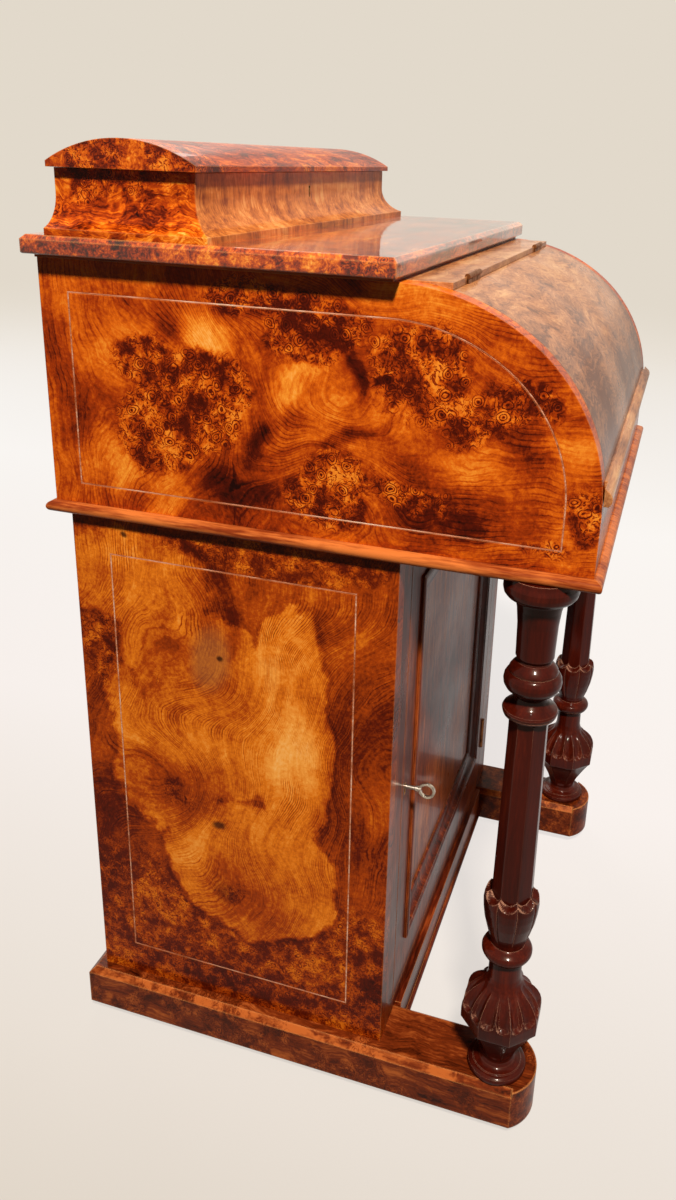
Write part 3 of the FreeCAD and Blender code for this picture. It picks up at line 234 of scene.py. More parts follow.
def grain_lines(tree, flow, at, fine, wide, broad, rings):
    """Growth lines at three widths that keep to the levels of `flow`, a length in metres.  The widths and
    the rings are given as how many there are to the metre."""
    slow = tree.split(tree.vector("SCALE", at, scale=9.0))
    shares = []
    for rate in (fine, wide, broad):
        place = tree.join(tree.math("MULTIPLY", flow, rate), slow[1], slow[2])
        shares.append(tree.noise(place, 1.0, 3.0, 0.62))
    lines = shares[0]
    tone = tree.lerp(0.55, tree.lerp(0.5, lines, shares[1]), shares[2])
    tone = tree.span(tone, 0.30, 0.70, 0.0, 1.0, smooth=False)
    ring = ring_lines(tree, flow, at, rings)
    return tree.math("SUBTRACT", tone, tree.math("MULTIPLY", ring, 0.26)), lines


def ring_lines(tree, flow, at, rings):
    """Thin dark lines, `rings` to the metre of `flow`, that come and go."""
    loose = tree.math("MULTIPLY", tree.noise(at, 30.0, 3.0, 0.6), 9.0)
    phase = tree.math("ADD", tree.math("MULTIPLY", flow, 2 * math.pi * rings), loose)
    ring = tree.span(tree.math("SINE", phase), 0.45, 1.0)
    return tree.math("MULTIPLY", ring, tree.span(tree.noise(at, 22.0, 3.0), 0.40, 0.62))


def flecks(tree, at, amount):
    """Fine light and dark flecks of curly grain."""
    return tree.span(tree.noise(at, 250.0, 4.0, 0.72), 0.3, 0.7, -amount, amount, smooth=False)


def level_lines(tree, at, scale, count):
    """Thin lines along the level curves of a noise: the scribbled grain of burr."""
    field = tree.noise(at, scale, 4.0, 0.58, 0.5)
    return tree.span(tree.math("SINE", tree.math("MULTIPLY", field, 2 * math.pi * count)), 0.2, 1.0)


def burr_ground(tree, at, scale):
    """Tone of dense burr: scribbled dark lines, ringed eyes with dark hearts, mottled ground."""
    loose = tree.drift(at, 60.0 * scale, 0.005 / scale, 4.0)
    lines = level_lines(tree, loose, 74.0 * scale, 8.0)
    cells = tree.add("ShaderNodeTexVoronoi", {"Vector": loose, "Scale": 70.0 * scale}, feature="F1")
    off = cells.outputs["Distance"]
    chance = tree.split(cells.outputs["Color"])[0]
    eye = tree.math("MULTIPLY", tree.span(off, 0.50, 0.36), tree.span(chance, 0.42, 0.50))
    rings = tree.span(tree.math("SINE", tree.math("MULTIPLY", off, 38.0)), -0.1, 1.0)
    heart = tree.math("MULTIPLY", tree.span(off, 0.15, 0.06), eye)
    dark = tree.lerp(eye, tree.math("MULTIPLY", lines, 0.75), tree.math("MULTIPLY", rings, 0.9))
    dark = tree.math("MAXIMUM", dark, heart)
    mottle = tree.noise(loose, 46.0 * scale, 5.0, 0.72)
    ground = tree.span(mottle, 0.34, 0.66, 0.14, 0.76)
    return tree.math("MULTIPLY", ground, tree.math("SUBTRACT", 1.0, tree.math("MULTIPLY", dark, 0.80)))


def gather(tree, at, operation, patches):
    """Several soft ellipses as one mask, by MAXIMUM or ADD.  Each is its centre (y, z), radii (y, z), turn
    in degrees, share that is core, and strength."""
    whole = 0.0
    for centre, radii, turn, core, strength in patches:
        one = tree.math("MULTIPLY", tree.patch(at, centre, radii, turn, core), strength)
        whole = tree.math(operation, whole, one)
    return whole


def largest(tree, at, patches):
    return gather(tree, at, "MAXIMUM", patches)


def total(tree, at, patches):
    return gather(tree, at, "ADD", patches)


def ragged(tree, mask, at, amount=1.5):
    """A soft mask cut to a crisp, torn edge."""
    torn = tree.math("MULTIPLY", tree.math("SUBTRACT", tree.noise(at, 26.0, 5.0, 0.68), 0.5), amount)
    torn = tree.math("MULTIPLY", torn, tree.span(mask, 0.0, 0.15))
    return tree.span(tree.math("ADD", mask, torn), 0.22, 0.62)


def swell(tree, flow, at, bulges):
    """Growth lines that swell round knots: centre (y, z), radii (y, z) and lift."""
    for centre, radii, lift in bulges:
        flow = tree.math("ADD", flow, tree.math("MULTIPLY", tree.patch(at, centre, radii, 0, 0.05), lift))
    return flow


def upper_figure():
    """Figured veneer of the upper side: four burr clusters in curling, flaming grain."""
    tree = Tree("burr_walnut_case_side")
    at = tree.at
    big = tree.drift(at, 7.0, 0.016)
    curl = tree.drift(tree.drift(big, 16.0, 0.012, 2.0), 90.0, 0.0026, 2.0)
    burr = largest(tree, curl, (((0.124, 0.752), (0.070, 0.104), 48, 0.40, 1.0),
                                ((0.168, 0.800), (0.050, 0.040), 20, 0.10, 0.9),
                                ((-0.004, 0.834), (0.072, 0.048), -15, 0.20, 1.0),
                                ((0.060, 0.860), (0.080, 0.024), 0, 0.10, 0.8),
                                ((-0.104, 0.806), (0.070, 0.068), 0, 0.20, 1.0),
                                ((-0.160, 0.785), (0.070, 0.044), -30, 0.05, 0.8),
                                ((-0.024, 0.690), (0.064, 0.056), 0, 0.25, 1.0),
                                ((-0.100, 0.700), (0.080, 0.024), 10, 0.05, 0.7),
                                ((-0.246, 0.700), (0.034, 0.060), 0, 0.05, 0.7),
                                ((-0.205, 0.805), (0.030, 0.046), -40, 0.05, 0.7),
                                ((-0.215, 0.670), (0.050, 0.020), 0, 0.05, 0.6)))
    burr = ragged(tree, burr, at)
    # the level lines run upright at the back, slant through the middle and lie flat at the front
    _, cy, cz = tree.split(tree.drift(tree.drift(big, 11.0, 0.014, 2.0), 38.0, 0.0035, 3.0))
    # each field is 0 where it hands over to the next, so that the lines meet there
    upright = tree.math("SUBTRACT", cy, 0.080)
    rise = tree.math("SUBTRACT", cz, 0.770)
    slant = tree.math("SUBTRACT", tree.math("MULTIPLY", upright, 0.62), tree.math("MULTIPLY", rise, 0.78))
    flat = tree.math("SUBTRACT", tree.math("MULTIPLY", cy, -0.15), rise)
    flat = tree.math("SUBTRACT", flat, 0.080)
    flow = tree.lerp(tree.span(cy, 0.12, 0.03), upright, slant)
    flow = tree.lerp(tree.span(cy, 0.00, -0.09), flow, flat)
    flow = swell(tree, flow, big, (((0.126, 0.752), (0.11, 0.13), 0.07),
                                   ((-0.024, 0.690), (0.09, 0.08), 0.08),
                                   ((-0.003, 0.832), (0.10, 0.07), 0.05),
                                   ((-0.108, 0.806), (0.09, 0.09), 0.06)))
    tone, lines = grain_lines(tree, flow, at, 520.0, 120.0, 34.0, 210.0)
    tone = tree.span(tone, 0.0, 1.0, 0.22, 0.72, smooth=False)
    lights = total(tree, curl, (((0.104, 0.818), (0.044, 0.048), 30, 0.2, 0.30),
                                ((0.014, 0.784), (0.022, 0.084), 52, 0.2, 0.30),
                                ((0.195, 0.690), (0.060, 0.050), 0, 0.2, 0.20),
                                ((0.215, 0.800), (0.040, 0.080), 0, 0.1, 0.10),
                                ((-0.150, 0.735), (0.060, 0.026), 0, 0.1, 0.12),
                                ((-0.075, 0.838), (0.020, 0.020), 0, 0.1, 0.12)))
    darks = total(tree, curl, (((0.047, 0.745), (0.022, 0.060), 20, 0.2, 0.30),
                               ((-0.050, 0.800), (0.010, 0.050), -10, 0.2, 0.26),
                               ((-0.130, 0.690), (0.080, 0.040), 0, 0.1, 0.26),
                               ((0.060, 0.684), (0.070, 0.024), 0, 0.1, 0.20),
                               ((-0.033, 0.738), (0.050, 0.010), -20, 0.2, 0.22),
                               ((0.060, 0.855), (0.060, 0.020), 0, 0.1, 0.16),
                               ((-0.200, 0.760), (0.030, 0.080), 0, 0.1, 0.14)))
    cloud = tree.span(tree.noise(at, 14.0, 4.0, 0.6), 0.3, 0.7, -0.14, 0.14)
    cloud = tree.math("ADD", cloud, flecks(tree, curl, 0.10))
    tone = tree.math("ADD", tone, tree.math("ADD", cloud, tree.math("SUBTRACT", lights, darks)))
    tone = tree.lerp(tree.math("MULTIPLY", burr, 0.92), tone, burr_ground(tree, at, 1.0))
    knot = tree.patch(tree.drift(curl, 120.0, 0.003), (-0.067, 0.796), (0.010, 0.007), 0, 0.3)
    tone = tree.math("MULTIPLY", tone, tree.span(knot, 0.0, 1.0, 1.0, 0.25))
    return polish(tree, tree.ramp(tone, BURR_STOPS), lines)


def lower_figure():
    """Veneer of the pedestal side: one great golden figure with wavy level lines in a dark burr ground."""
    tree = Tree("burr_walnut_pedestal_side")
    at = tree.at
    big = tree.drift(at, 6.0, 0.016)
    curl = tree.drift(tree.drift(big, 22.0, 0.006, 2.0), 90.0, 0.0022, 3.0)
    lobe = largest(tree, curl, (((0.060, 0.250), (0.130, 0.115), 0, 0.60, 0.86),))
    golden = largest(tree, curl, (((0.180, 0.570), (0.140, 0.085), 0, 0.30, 1.0),
                                  ((0.120, 0.440), (0.140, 0.165), 0, 0.45, 0.95),
                                  ((0.150, 0.345), (0.105, 0.120), 0, 0.30, 0.90),
                                  ((0.012, 0.430), (0.062, 0.190), 0, 0.50, 1.0)))
    lobe = ragged(tree, lobe, at, 1.1)
    golden = tree.math("MAXIMUM", ragged(tree, golden, at, 1.2), lobe)
    pale = largest(tree, curl, (((0.022, 0.525), (0.054, 0.080), 8, 0.3, 1.0),
                                ((0.014, 0.415), (0.046, 0.125), 0, 0.3, 1.0),
                                ((0.124, 0.525), (0.026, 0.028), 0, 0.2, 0.8),
                                ((0.118, 0.420), (0.050, 0.085), 0, 0.1, 0.55),
                                ((0.185, 0.592), (0.070, 0.026), 0, 0.2, 0.50)))
    _, wy, wz = tree.split(tree.drift(big, 24.0, 0.006, 3.0))
    wave = tree.math("MULTIPLY", tree.math("SINE", tree.math("MULTIPLY", wz, 58.0)), 0.006)
    flow = tree.math("ADD", tree.math("ADD", wy, tree.math("MULTIPLY", wz, 0.35)), wave)
    flow = swell(tree, flow, big, (((0.100, 0.506), (0.10, 0.10), 0.06),
                                   ((0.140, 0.325), (0.12, 0.12), 0.09),
                                   ((-0.060, 0.430), (0.10, 0.16), -0.06),
                                   ((0.060, 0.200), (0.14, 0.10), 0.07)))
    tone, lines = grain_lines(tree, flow, at, 480.0, 150.0, 40.0, 240.0)
    tone = tree.span(tone, 0.0, 1.0, 0.20, 0.50, smooth=False)
    tone = tree.math("ADD", tone, tree.math("MULTIPLY", golden, 0.17))
    tone = tree.math("ADD", tone, tree.math("MULTIPLY", pale, 0.19))
    dark_lines = tree.math("MULTIPLY", ring_lines(tree, flow, at, 330.0), tree.lerp(pale, 0.10, 0.34))
    tone = tree.math("SUBTRACT", tone, dark_lines)
    cloud = tree.span(tree.noise(at, 12.0, 4.0, 0.6), 0.3, 0.7, -0.10, 0.10)
    tone = tree.math("ADD", tone, tree.math("ADD", cloud, flecks(tree, curl, 0.09)))
    foot = tree.span(tree.split(curl)[2], 0.265, 0.205)
    foot = tree.math("MULTIPLY", foot, tree.math("SUBTRACT", 1.0, lobe))
    burr = largest(tree, curl, (((0.150, 0.330), (0.060, 0.064), 10, 0.1, 0.45),
                                ((0.230, 0.490), (0.046, 0.055), 0, 0.3, 0.85),
                                ((0.030, 0.616), (0.180, 0.026), 0, 0.3, 0.9),
                                ((0.088, 0.215), (0.040, 0.030), 0, 0.1, 0.5),
                                ((0.175, 0.460), (0.040, 0.040), 0, 0.2, 0.5)))
    burr = tree.math("MAXIMUM", ragged(tree, burr, at), foot)
    ground = tree.span(burr_ground(tree, at, 1.25), 0.0, 0.76, 0.10, 0.60, smooth=False)
    tone = tree.lerp(tree.math("MULTIPLY", burr, 0.85), tone, ground)
    rim = tree.math("MULTIPLY", tree.math("MULTIPLY", golden, tree.math("SUBTRACT", 1.0, golden)), 0.5)
    darks = total(tree, curl, (((0.098, 0.090), (0.200, 0.050), 0, 0.1, 0.12),
                               ((-0.080, 0.120), (0.040, 0.100), 0, 0.1, 0.12),
                               ((0.150, 0.330), (0.060, 0.064), 0, 0.1, 0.10),
                               ((0.030, 0.205), (0.110, 0.070), 0, 0.1, 0.08),
                               ((0.080, 0.235), (0.050, 0.036), 0, 0.1, 0.07),
                               ((0.245, 0.240), (0.045, 0.150), 0, 0.1, 0.12)))
    tone = tree.math("SUBTRACT", tone, tree.math("ADD", rim, darks))
    base = tree.ramp(tone, GOLD_STOPS)
    faded = tree.patch(curl, (0.100, 0.500), (0.028, 0.044), 15, 0.4)
    base = tree.mix(tree.math("MULTIPLY", faded, 0.50), base, colour(138, 90, 50) + (1.0,))
    spots = largest(tree, curl, (((0.094, 0.298), (0.010, 0.009), 0, 0.3, 0.85),
                                 ((0.090, 0.502), (0.005, 0.004), 0, 0.3, 0.9),
                                 ((0.192, 0.617), (0.004, 0.004), 0, 0.3, 0.9),
                                 ((0.090, 0.214), (0.020, 0.020), 0, 0.1, 0.35)))
    base = tree.mix(spots, base, colour(40, 12, 5) + (1.0,))
    return polish(tree, base, lines)


def plain_figure(name, stops, run, burr=0.0, curl=0.004, lift=0.0, flame=0.0, contrast=1.0, marks=None,
                 coat=0.08, **finish):
    """Straight or lightly curled wood.  `run` is the grain's axis, `burr` the share of burr in it, `curl`
    how far the grain wanders, `lift` a paler or darker tone, `flame` the strength of cross curl, and
    `marks` a function that gives what is darker in places.  The rest goes to the polish."""
    tree = Tree(name)
    moved = tree.drift(tree.drift(tree.at, 9.0, curl * 2, 2.0), 34.0, curl, 3.0)
    across = [1.0, 1.0, 1.0]
    across[run] = 0.07
    stretched = tree.stretch(moved, tuple(across))
    lines = tree.noise(stretched, 420.0, 3.0, 0.62)
    bands = tree.noise(stretched, 80.0, 3.0, 0.62)
    spread = 0.40 * contrast
    tone = tree.span(tree.lerp(0.55, lines, bands), 0.32, 0.68, 0.45 - spread, 0.45 + spread, smooth=False)
    if flame > 0:
        upright = [0.3, 0.3, 0.3]
        upright[run] = 1.0
        ribs = tree.noise(tree.stretch(moved, tuple(upright)), 95.0, 2.0)
        tone = tree.math("ADD", tone, tree.span(ribs, 0.3, 0.7, -flame, flame))
    cloud = tree.span(tree.noise(tree.at, 8.0, 4.0, 0.6), 0.3, 0.7, -0.18 * contrast, 0.18 * contrast)
    tone = tree.math("ADD", tree.math("ADD", tone, cloud), lift)
    if burr > 0:
        where = tree.span(tree.noise(moved, 12.0, 2.0), 0.64 - 0.3 * burr, 0.70 - 0.3 * burr)
        tone = tree.lerp(tree.math("MULTIPLY", where, 0.9), tone, burr_ground(tree, tree.at, 1.2))
    if marks:
        tone = tree.math("SUBTRACT", tone, marks(tree))
    return polish(tree, tree.ramp(tone, stops), lines, coat, **finish)


def fall_joint_and_painted_reflection(tree):
    """The dark joint of the narrow banding along both ends of the fall, and a painted reflection that
    darkens the wood towards its foot.
    """
    x, _, z = tree.split(tree.at)
    off = tree.math("ABSOLUTE", tree.math("SUBTRACT", tree.math("ABSOLUTE", x), FALL_END - 9 * MM))
    joint = tree.span(off, 0.5 * MM, 0.1 * MM, 0.0, 0.5)
    # painted reflection: darker towards the fall's foot
    return tree.math("ADD", joint, tree.span(z, 0.90, 0.74, 0.0, 0.42))


def chamfer_highlight(tree):
    """The sled's chamfers, painted paler in patches as a highlight: a mark below 0 lightens the wood."""
    x, _, z = tree.split(tree.facing)
    slope = tree.span(tree.math("MULTIPLY", tree.math("ABSOLUTE", x), z), 0.30, 0.45)
    # painted highlight on the chamfer faces, broken into patches
    rubbed = tree.span(tree.noise(tree.at, 30.0, 4.0, 0.65), 0.40, 0.62, -0.02, -0.48)
    return tree.math("MULTIPLY", slope, rubbed)


def painted_reflection_band(tree):
    """A band of painted dark reflection with torn edges across the door panel, at the height of the key."""
    z = tree.split(tree.drift(tree.drift(tree.at, 7.0, 0.050, 3.0), 60.0, 0.008, 3.0))[2]
    band = tree.math("MULTIPLY", tree.span(z, 0.270, 0.320), tree.span(z, 0.460, 0.400))
    # painted reflection: the dark band across the panel
    return tree.math("MULTIPLY", band, 0.26)


def plain_metal(name, tint, rough):
    """Metal with tarnish in patches, `rough` where it is clean."""
    tree = Tree(name)
    stain = tree.noise(tree.at, 120.0, 3.0)
    tarnish = tuple(0.35 * value for value in tint)
    return tree.shade(
        Base_Color=tree.mix(tree.span(stain, 0.45, 0.75), tint + (1.0,), tarnish + (1.0,)),
        Metallic=1.0,
        Roughness=tree.span(stain, 0.3, 0.7, rough, rough + 0.25),
        Normal=tree.bump(tree.noise(tree.at, 800.0, 2.0), GRAIN_DEPTH, 0.5, tree.rounded(0.0004)))


def edges_of_cells(tree, scale):
    """Distance to the nearest edge in a net of cells, `scale` cells to the metre."""
    cells = tree.add("ShaderNodeTexVoronoi", {"Vector": tree.at, "Scale": scale}, feature="DISTANCE_TO_EDGE")
    return cells.outputs["Distance"]


def glazed():
    """Brown glazed china of the castor wheels, crazed and a little scuffed."""
    tree = Tree("brown_china")
    craze = tree.span(edges_of_cells(tree, 420.0), 0.03, 0.0)
    pooled = tree.span(tree.noise(tree.at, 90.0, 3.0), 0.35, 0.65)
    base = tree.mix(pooled, colour(60, 28, 14) + (1.0,), colour(112, 60, 30) + (1.0,))
    base = tree.mix(tree.math("MULTIPLY", craze, 0.5), base, colour(30, 14, 8) + (1.0,))
    scuff = tree.span(tree.noise(tree.at, 260.0, 3.0), 0.4, 0.7, 0.12, 0.40)
    return tree.shade(Base_Color=base, Roughness=scuff, Coat_Weight=0.6, Coat_Roughness=0.08,
                      Normal=tree.bump(craze, 0.00004, 0.5, tree.rounded(0.0005)))


def leather():
    """Skiver on the writing slide: green, a little rubbed, with one gilt line inside its edge."""
    tree = Tree("green_leather")
    low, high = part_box("slide_leather")
    x, y, _ = tree.split(tree.at)
    half = (high - low) / 2
    middle = (low + high) / 2
    off_x = tree.math("SUBTRACT", half.x, tree.math("ABSOLUTE", tree.math("SUBTRACT", x, middle.x)))
    off_y = tree.math("SUBTRACT", half.y, tree.math("ABSOLUTE", tree.math("SUBTRACT", y, middle.y)))
    inset = tree.math("MINIMUM", off_x, off_y)
    gilt = tree.span(tree.math("ABSOLUTE", tree.math("SUBTRACT", inset, 12 * MM)), 0.9 * MM, 0.5 * MM)
    worn = tree.span(tree.noise(tree.at, 60.0, 4.0, 0.7), 0.42, 0.58)
    gilt = tree.math("MULTIPLY", gilt, tree.span(worn, 0.0, 1.0, 0.35, 1.0))
    pores = tree.span(edges_of_cells(tree, 900.0), 0.0, 0.25)
    patchy = tree.span(tree.noise(tree.at, 7.0, 5.0, 0.6), 0.35, 0.65)
    base = tree.mix(patchy, colour(22, 44, 28) + (1.0,), colour(44, 70, 42) + (1.0,))
    base = tree.mix(tree.math("MULTIPLY", worn, 0.18), base, colour(104, 96, 58) + (1.0,))
    base = tree.mix(gilt, base, colour(198, 150, 70) + (1.0,))
    return tree.shade(Base_Color=base, Metallic=tree.math("MULTIPLY", gilt, 0.8),
                      Roughness=tree.span(patchy, 0.0, 1.0, 0.42, 0.60), Specular_IOR_Level=0.4,
                      Normal=tree.bump(pores, 0.00006, 0.7))


def dress_nodes():
    """Gives each node the material of the first row with a word that its name starts with, or else pine."""
    steel = plain_metal("bright_steel", colour(206, 196, 182), 0.18)
    brass = plain_metal("aged_brass", colour(176, 130, 70), 0.28)
    dull = plain_metal("dull_brass", colour(132, 84, 50), 0.45)
    pine = plain_figure("pine", TAN_STOPS, X, curl=0.002, coat=0.0)
    rows = (
        ("case_side", upper_figure()),
        ("pedestal_side", lower_figure()),
        ("top_board", plain_figure("walnut_top", BURR_STOPS, X, burr=0.35, curl=0.006, coat=1.0, gloss=0.3,
                                   edge_light=0.8, edge_radius=0.0022)),
        ("box_lid", plain_figure("walnut_lid", BURR_STOPS, X, burr=0.15, curl=0.010, coat=0.22,
                                 contrast=0.8)),
        ("box_front box_back", plain_figure("walnut_box_front", CURLY_STOPS, Z, curl=0.006, coat=0.10,
                                            flame=0.12)),
        ("box_ends", plain_figure("walnut_box_ends", BURR_STOPS, Y, burr=0.12, curl=0.014, lift=0.08,
                                  flame=0.10)),
        # the fall's marks: dark banding joints, and a painted reflection darker towards its foot
        ("fall_shell hinge_rail", plain_figure("walnut_fall", FALL_STOPS, X, curl=0.014, coat=0.22,
                                               marks=fall_joint_and_painted_reflection)),
        ("fall_lip", plain_figure("walnut_lip", FALL_STOPS, X, curl=0.002, lift=-0.05, coat=0.20,
                                  edge_light=0.6)),
        # the panel's marks paint a dark reflection band across it
        ("door_panel", plain_figure("walnut_panel", SOLID_STOPS, Z, curl=0.006, lift=0.12, gloss=0.05,
                                    edge_light=0.1, marks=painted_reflection_band)),
        ("front_rail", plain_figure("walnut_rail_face", SOLID_STOPS, X, burr=0.2, curl=0.006, lift=0.16,
                                    coat=0.20)),
        ("base_moulding board_slip", plain_figure("walnut_bead", SOLID_STOPS, Y, curl=0.001, lift=0.22,
                                                  edge_light=0.6)),
        ("plinth", plain_figure("walnut_rail", UPRIGHT_STOPS, X, curl=0.002, lift=0.05, edge_light=0.5)),
        # the sled's marks paint a highlight on its chamfers
        ("sled", plain_figure("walnut_sled", SLED_STOPS, Y, burr=0.6, curl=0.008, marks=chamfer_highlight,
                              edge_light=0.8, edge_radius=0.0024)),
        ("door_frame door_moulding face_frame column slide_board",
         plain_figure("walnut_upright", UPRIGHT_STOPS, Z, curl=0.002)),
        ("stringing", plain_figure("box_stringing", STRING_STOPS, Y, contrast=1.2, edge_light=0.0)),
        ("slide_leather", leather()),
        ("slide_knobs", plain_figure("turned_knobs", DARK_STOPS, Y, curl=0.001, lift=0.1, coat=0.5,
                                     gloss=0.3)),
        ("drawer pigeonhole box_dividers slide",
         plain_figure("satin_walnut", TAN_STOPS, X, curl=0.002, lift=-0.05, coat=0.15)),
        ("key lock_bolt", steel),
        ("door_hinge fall_hinge lid_hinge hinges_fixed", dull),
        ("castor_wheel", glazed()),
        ("castor box_lock door_lock", brass))
    for name, node in frame["nodes"].items():
        material = next((made for words, made in rows if name.startswith(tuple(words.split()))), pine)
        for slot in node.material_slots:
            slot.material = material


# ---------------------------------------------------------------- meshes that stand for plain solids
def new_piece(name, mesh, material, *nodes):
    """A piece that rides on the body of the nodes it stands for."""
    piece = bpy.data.objects.new(name, mesh)
    bpy.context.scene.collection.objects.link(piece)
    mesh.materials.append(material)
    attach(piece, frame["nodes"][nodes[0]]["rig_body"])
    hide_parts(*nodes)


def swept_mesh(name, rows):
    """A skin over rings of points, each ring with as many points as the last, closed at both ends."""
    mesh = bpy.data.meshes.new(name)
    work = bmesh.new()
    rings = [[work.verts.new(point) for point in row] for row in rows]
    count = len(rings[0])
    for lower, upper in zip(rings, rings[1:]):
        for i in range(count):
            j = (i + 1) % count
            work.faces.new((lower[i], lower[j], upper[j], upper[i]))
    work.faces.new(list(reversed(rings[0])))
    work.faces.new(rings[-1])
    for face in work.faces:
        face.smooth = True
    work.to_mesh(mesh)
    work.free()
    mesh.set_sharp_from_angle(angle=math.radians(32))
    return mesh


def smooth(value, low, high):
    """0 below low, 1 above high, and an easy rise between them."""
    share = min(max((value - low) / (high - low), 0.0), 1.0)
    return share * share * (3 - 2 * share)


def follow(points, level):
    """Radius at a level, on straight lines through (level, radius) points."""
    for (z0, r0), (z1, r1) in zip(points, points[1:]):
        if level <= z1:
            share = (level - z0) / (z1 - z0) if z1 > z0 else 1.0
            return r0 + (r1 - r0) * max(share, 0.0)
    return points[-1][1]


# The column's turned profile in millimetres: level over the sled, then radius.
FOOT_TURNING = ((0, 29.6), (1.5, 31.0), (4.5, 31.4), (7.0, 30.6), (8.6, 28.6), (9.4, 26.0),
                (10.4, 25.2), (11.0, 22.6), (13.0, 19.0), (16.0, 17.3), (19.0, 17.2), (21.0, 18.2),
                (34.0, 23.0), (48.0, 30.4), (58.0, 36.0), (64.0, 39.8), (66.0, 41.8), (67.5, 42.8),
                (72.0, 43.0), (80.0, 43.0), (86.0, 42.4), (92.0, 40.6), (98.0, 37.4), (103.0, 33.4),
                (107.0, 28.8), (110.0, 24.6), (113.0, 21.4), (118.0, 18.4), (124.0, 17.2),
                (146.0, 16.6), (148.0, 18.6), (149.0, 21.8), (151.0, 23.6), (152.0, 24.0),
                (152.6, 23.6), (153.2, 24.9), (155.5, 25.8), (158.5, 25.8), (161.0, 24.6),
                (163.5, 21.4), (165.0, 18.6), (166.0, 17.4))
TULIP_TURNING = ((166, 17.4), (172, 18.6), (182, 22.0), (196, 25.6), (208, 27.4), (217, 28.0),
                 (226, 27.0), (231, 26.0))
SHAFT_TURNING = ((232, 19.6), (423, 17.6))
HEAD_TURNING = ((423, 17.6), (429, 17.8), (431, 19.0), (431.6, 22.4), (432.4, 24.4), (434.2, 25.2),
                (434.8, 24.8), (435.4, 25.6), (437.5, 26.0), (439.5, 25.2), (441.0, 23.0),
                (444.0, 19.0), (448.0, 15.6), (451.0, 14.8), (453.0, 15.6), (456.0, 19.6),
                (460.0, 24.2), (464.0, 26.4), (468.0, 27.0), (472.0, 26.4), (475.0, 24.8),
                (476.6, 23.2), (477.2, 22.2), (478.0, 22.8), (480.0, 22.4), (483.0, 20.4),
                (486.0, 17.6), (487.4, 16.0), (489.0, 15.6), (490.0, 16.0), (491.4, 17.0),
                (493.0, 17.8), (500.0, 17.9), (525.0, 18.6), (540.0, 20.2), (548.0, 22.0),
                (550.2, 23.4), (551.0, 27.4), (553.0, 30.6), (556.0, 33.0), (560.0, 34.0),
                (565.0, 33.8), (569.0, 32.0), (573.0, 31.4))
TULIP_FOOT, TULIP_TOP, SHAFT_TOP, FLATS_TOP = 166, 231.5, 423, 429
LOBE = 2 * math.pi / 8             # the column is eight-sided
BULB_FLAT = 39.6 / 43.0            # the bulb's radius at the middle of a flat, over its turned radius
PETAL_TOP = 223.0                  # level of a petal's tip in the middle, and what it gains to the corners
PETAL_GAIN = 6.0
PETAL_GROOVE = 1.5                 # depth of the grooves between the petals
HOLLOW_DEPTH = 4.2                 # of the gouged hollows in the bulb
HOLLOW_HALF = 0.42                 # half a hollow's width, as a share of half a lobe
HOLLOW_FOOT = 81                   # level of a hollow's foot in its middle, and what it gains to its edges
HOLLOW_GAIN = 7
RING_POINTS = 144


def column_radius(level, angle):
    """Carved radius in millimetres at a level over the sled and an angle about the column."""
    turn = (angle + LOBE / 2) % LOBE - LOBE / 2        # from the middle of a flat
    share = abs(turn) / (LOBE / 2)                     # 0 in its middle, 1 at its corners
    flat = 1.0 / math.cos(turn)
    if level < TULIP_FOOT:
        rise = smooth(level, 20, 26) * (1 - smooth(level, 100, 119))
        radius = follow(FOOT_TURNING, level) * (BULB_FLAT * flat) ** rise
        return radius - bulb_carving(level, share)
    if level < TULIP_TOP:
        top = PETAL_TOP + PETAL_GAIN * share ** 2
        petal = follow(TULIP_TURNING, level) * (0.97 + 0.03 * flat)
        groove = PETAL_GROOVE * math.exp(-((1 - share) / 0.10) ** 2) * smooth(level, 168, 186)
        shaft = SHAFT_TURNING[0][1] * flat
        closed = smooth(level, top - 1.2, top + 1.6)
        return (petal - groove) * (1 - closed) + shaft * closed
    if level < SHAFT_TOP:
        return follow(SHAFT_TURNING, level) * min(flat, 1.075)
    return follow(HEAD_TURNING, level) * (flat if level < FLATS_TOP else 1.0)


def bulb_carving(level, share):
    """Depth of the leaf carving: two gouged hollows in each lobe, round at the foot, sharp edges between."""
    off = abs(share - 0.5) / HOLLOW_HALF
    hollow = HOLLOW_DEPTH * max(1 - off ** 4, 0.0)
    tip = HOLLOW_FOOT + HOLLOW_GAIN * min(off, 1.0) ** 3
    return hollow * smooth(level, tip, tip + 4) * (1 - smooth(level, 98, 118))


def column_levels():
    """The levels of the rings: each point of the profile, with fine steps between, and coarse ones up the
    shaft."""
    fine, coarse = 1.2, 24
    levels = []
    for table in (FOOT_TURNING, TULIP_TURNING, SHAFT_TURNING, HEAD_TURNING):
        for (z0, _), (z1, _) in zip(table, table[1:]):
            steps = max(1, math.ceil((z1 - z0) / (fine if z1 - z0 < 30 else coarse)))
            levels += [z0 + (z1 - z0) * i / steps for i in range(steps)]
    return sorted(set(levels)) + [HEAD_TURNING[-1][0]]


def column(side, material):
    node = "column_" + side
    low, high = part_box(node)
    middle = (low + high) / 2
    angles = [2 * math.pi * i / RING_POINTS for i in range(RING_POINTS)]
    rows = []
    for level in column_levels():
        z = SLED_TOP + level * MM
        ring = []
        for angle in angles:
            r = column_radius(level, angle) * MM
            ring.append((middle.x + r * math.cos(angle), middle.y + r * math.sin(angle), z))
        rows.append(ring)
    new_piece("carved_column_" + side, swept_mesh("carved_column_" + side, rows), material, node)


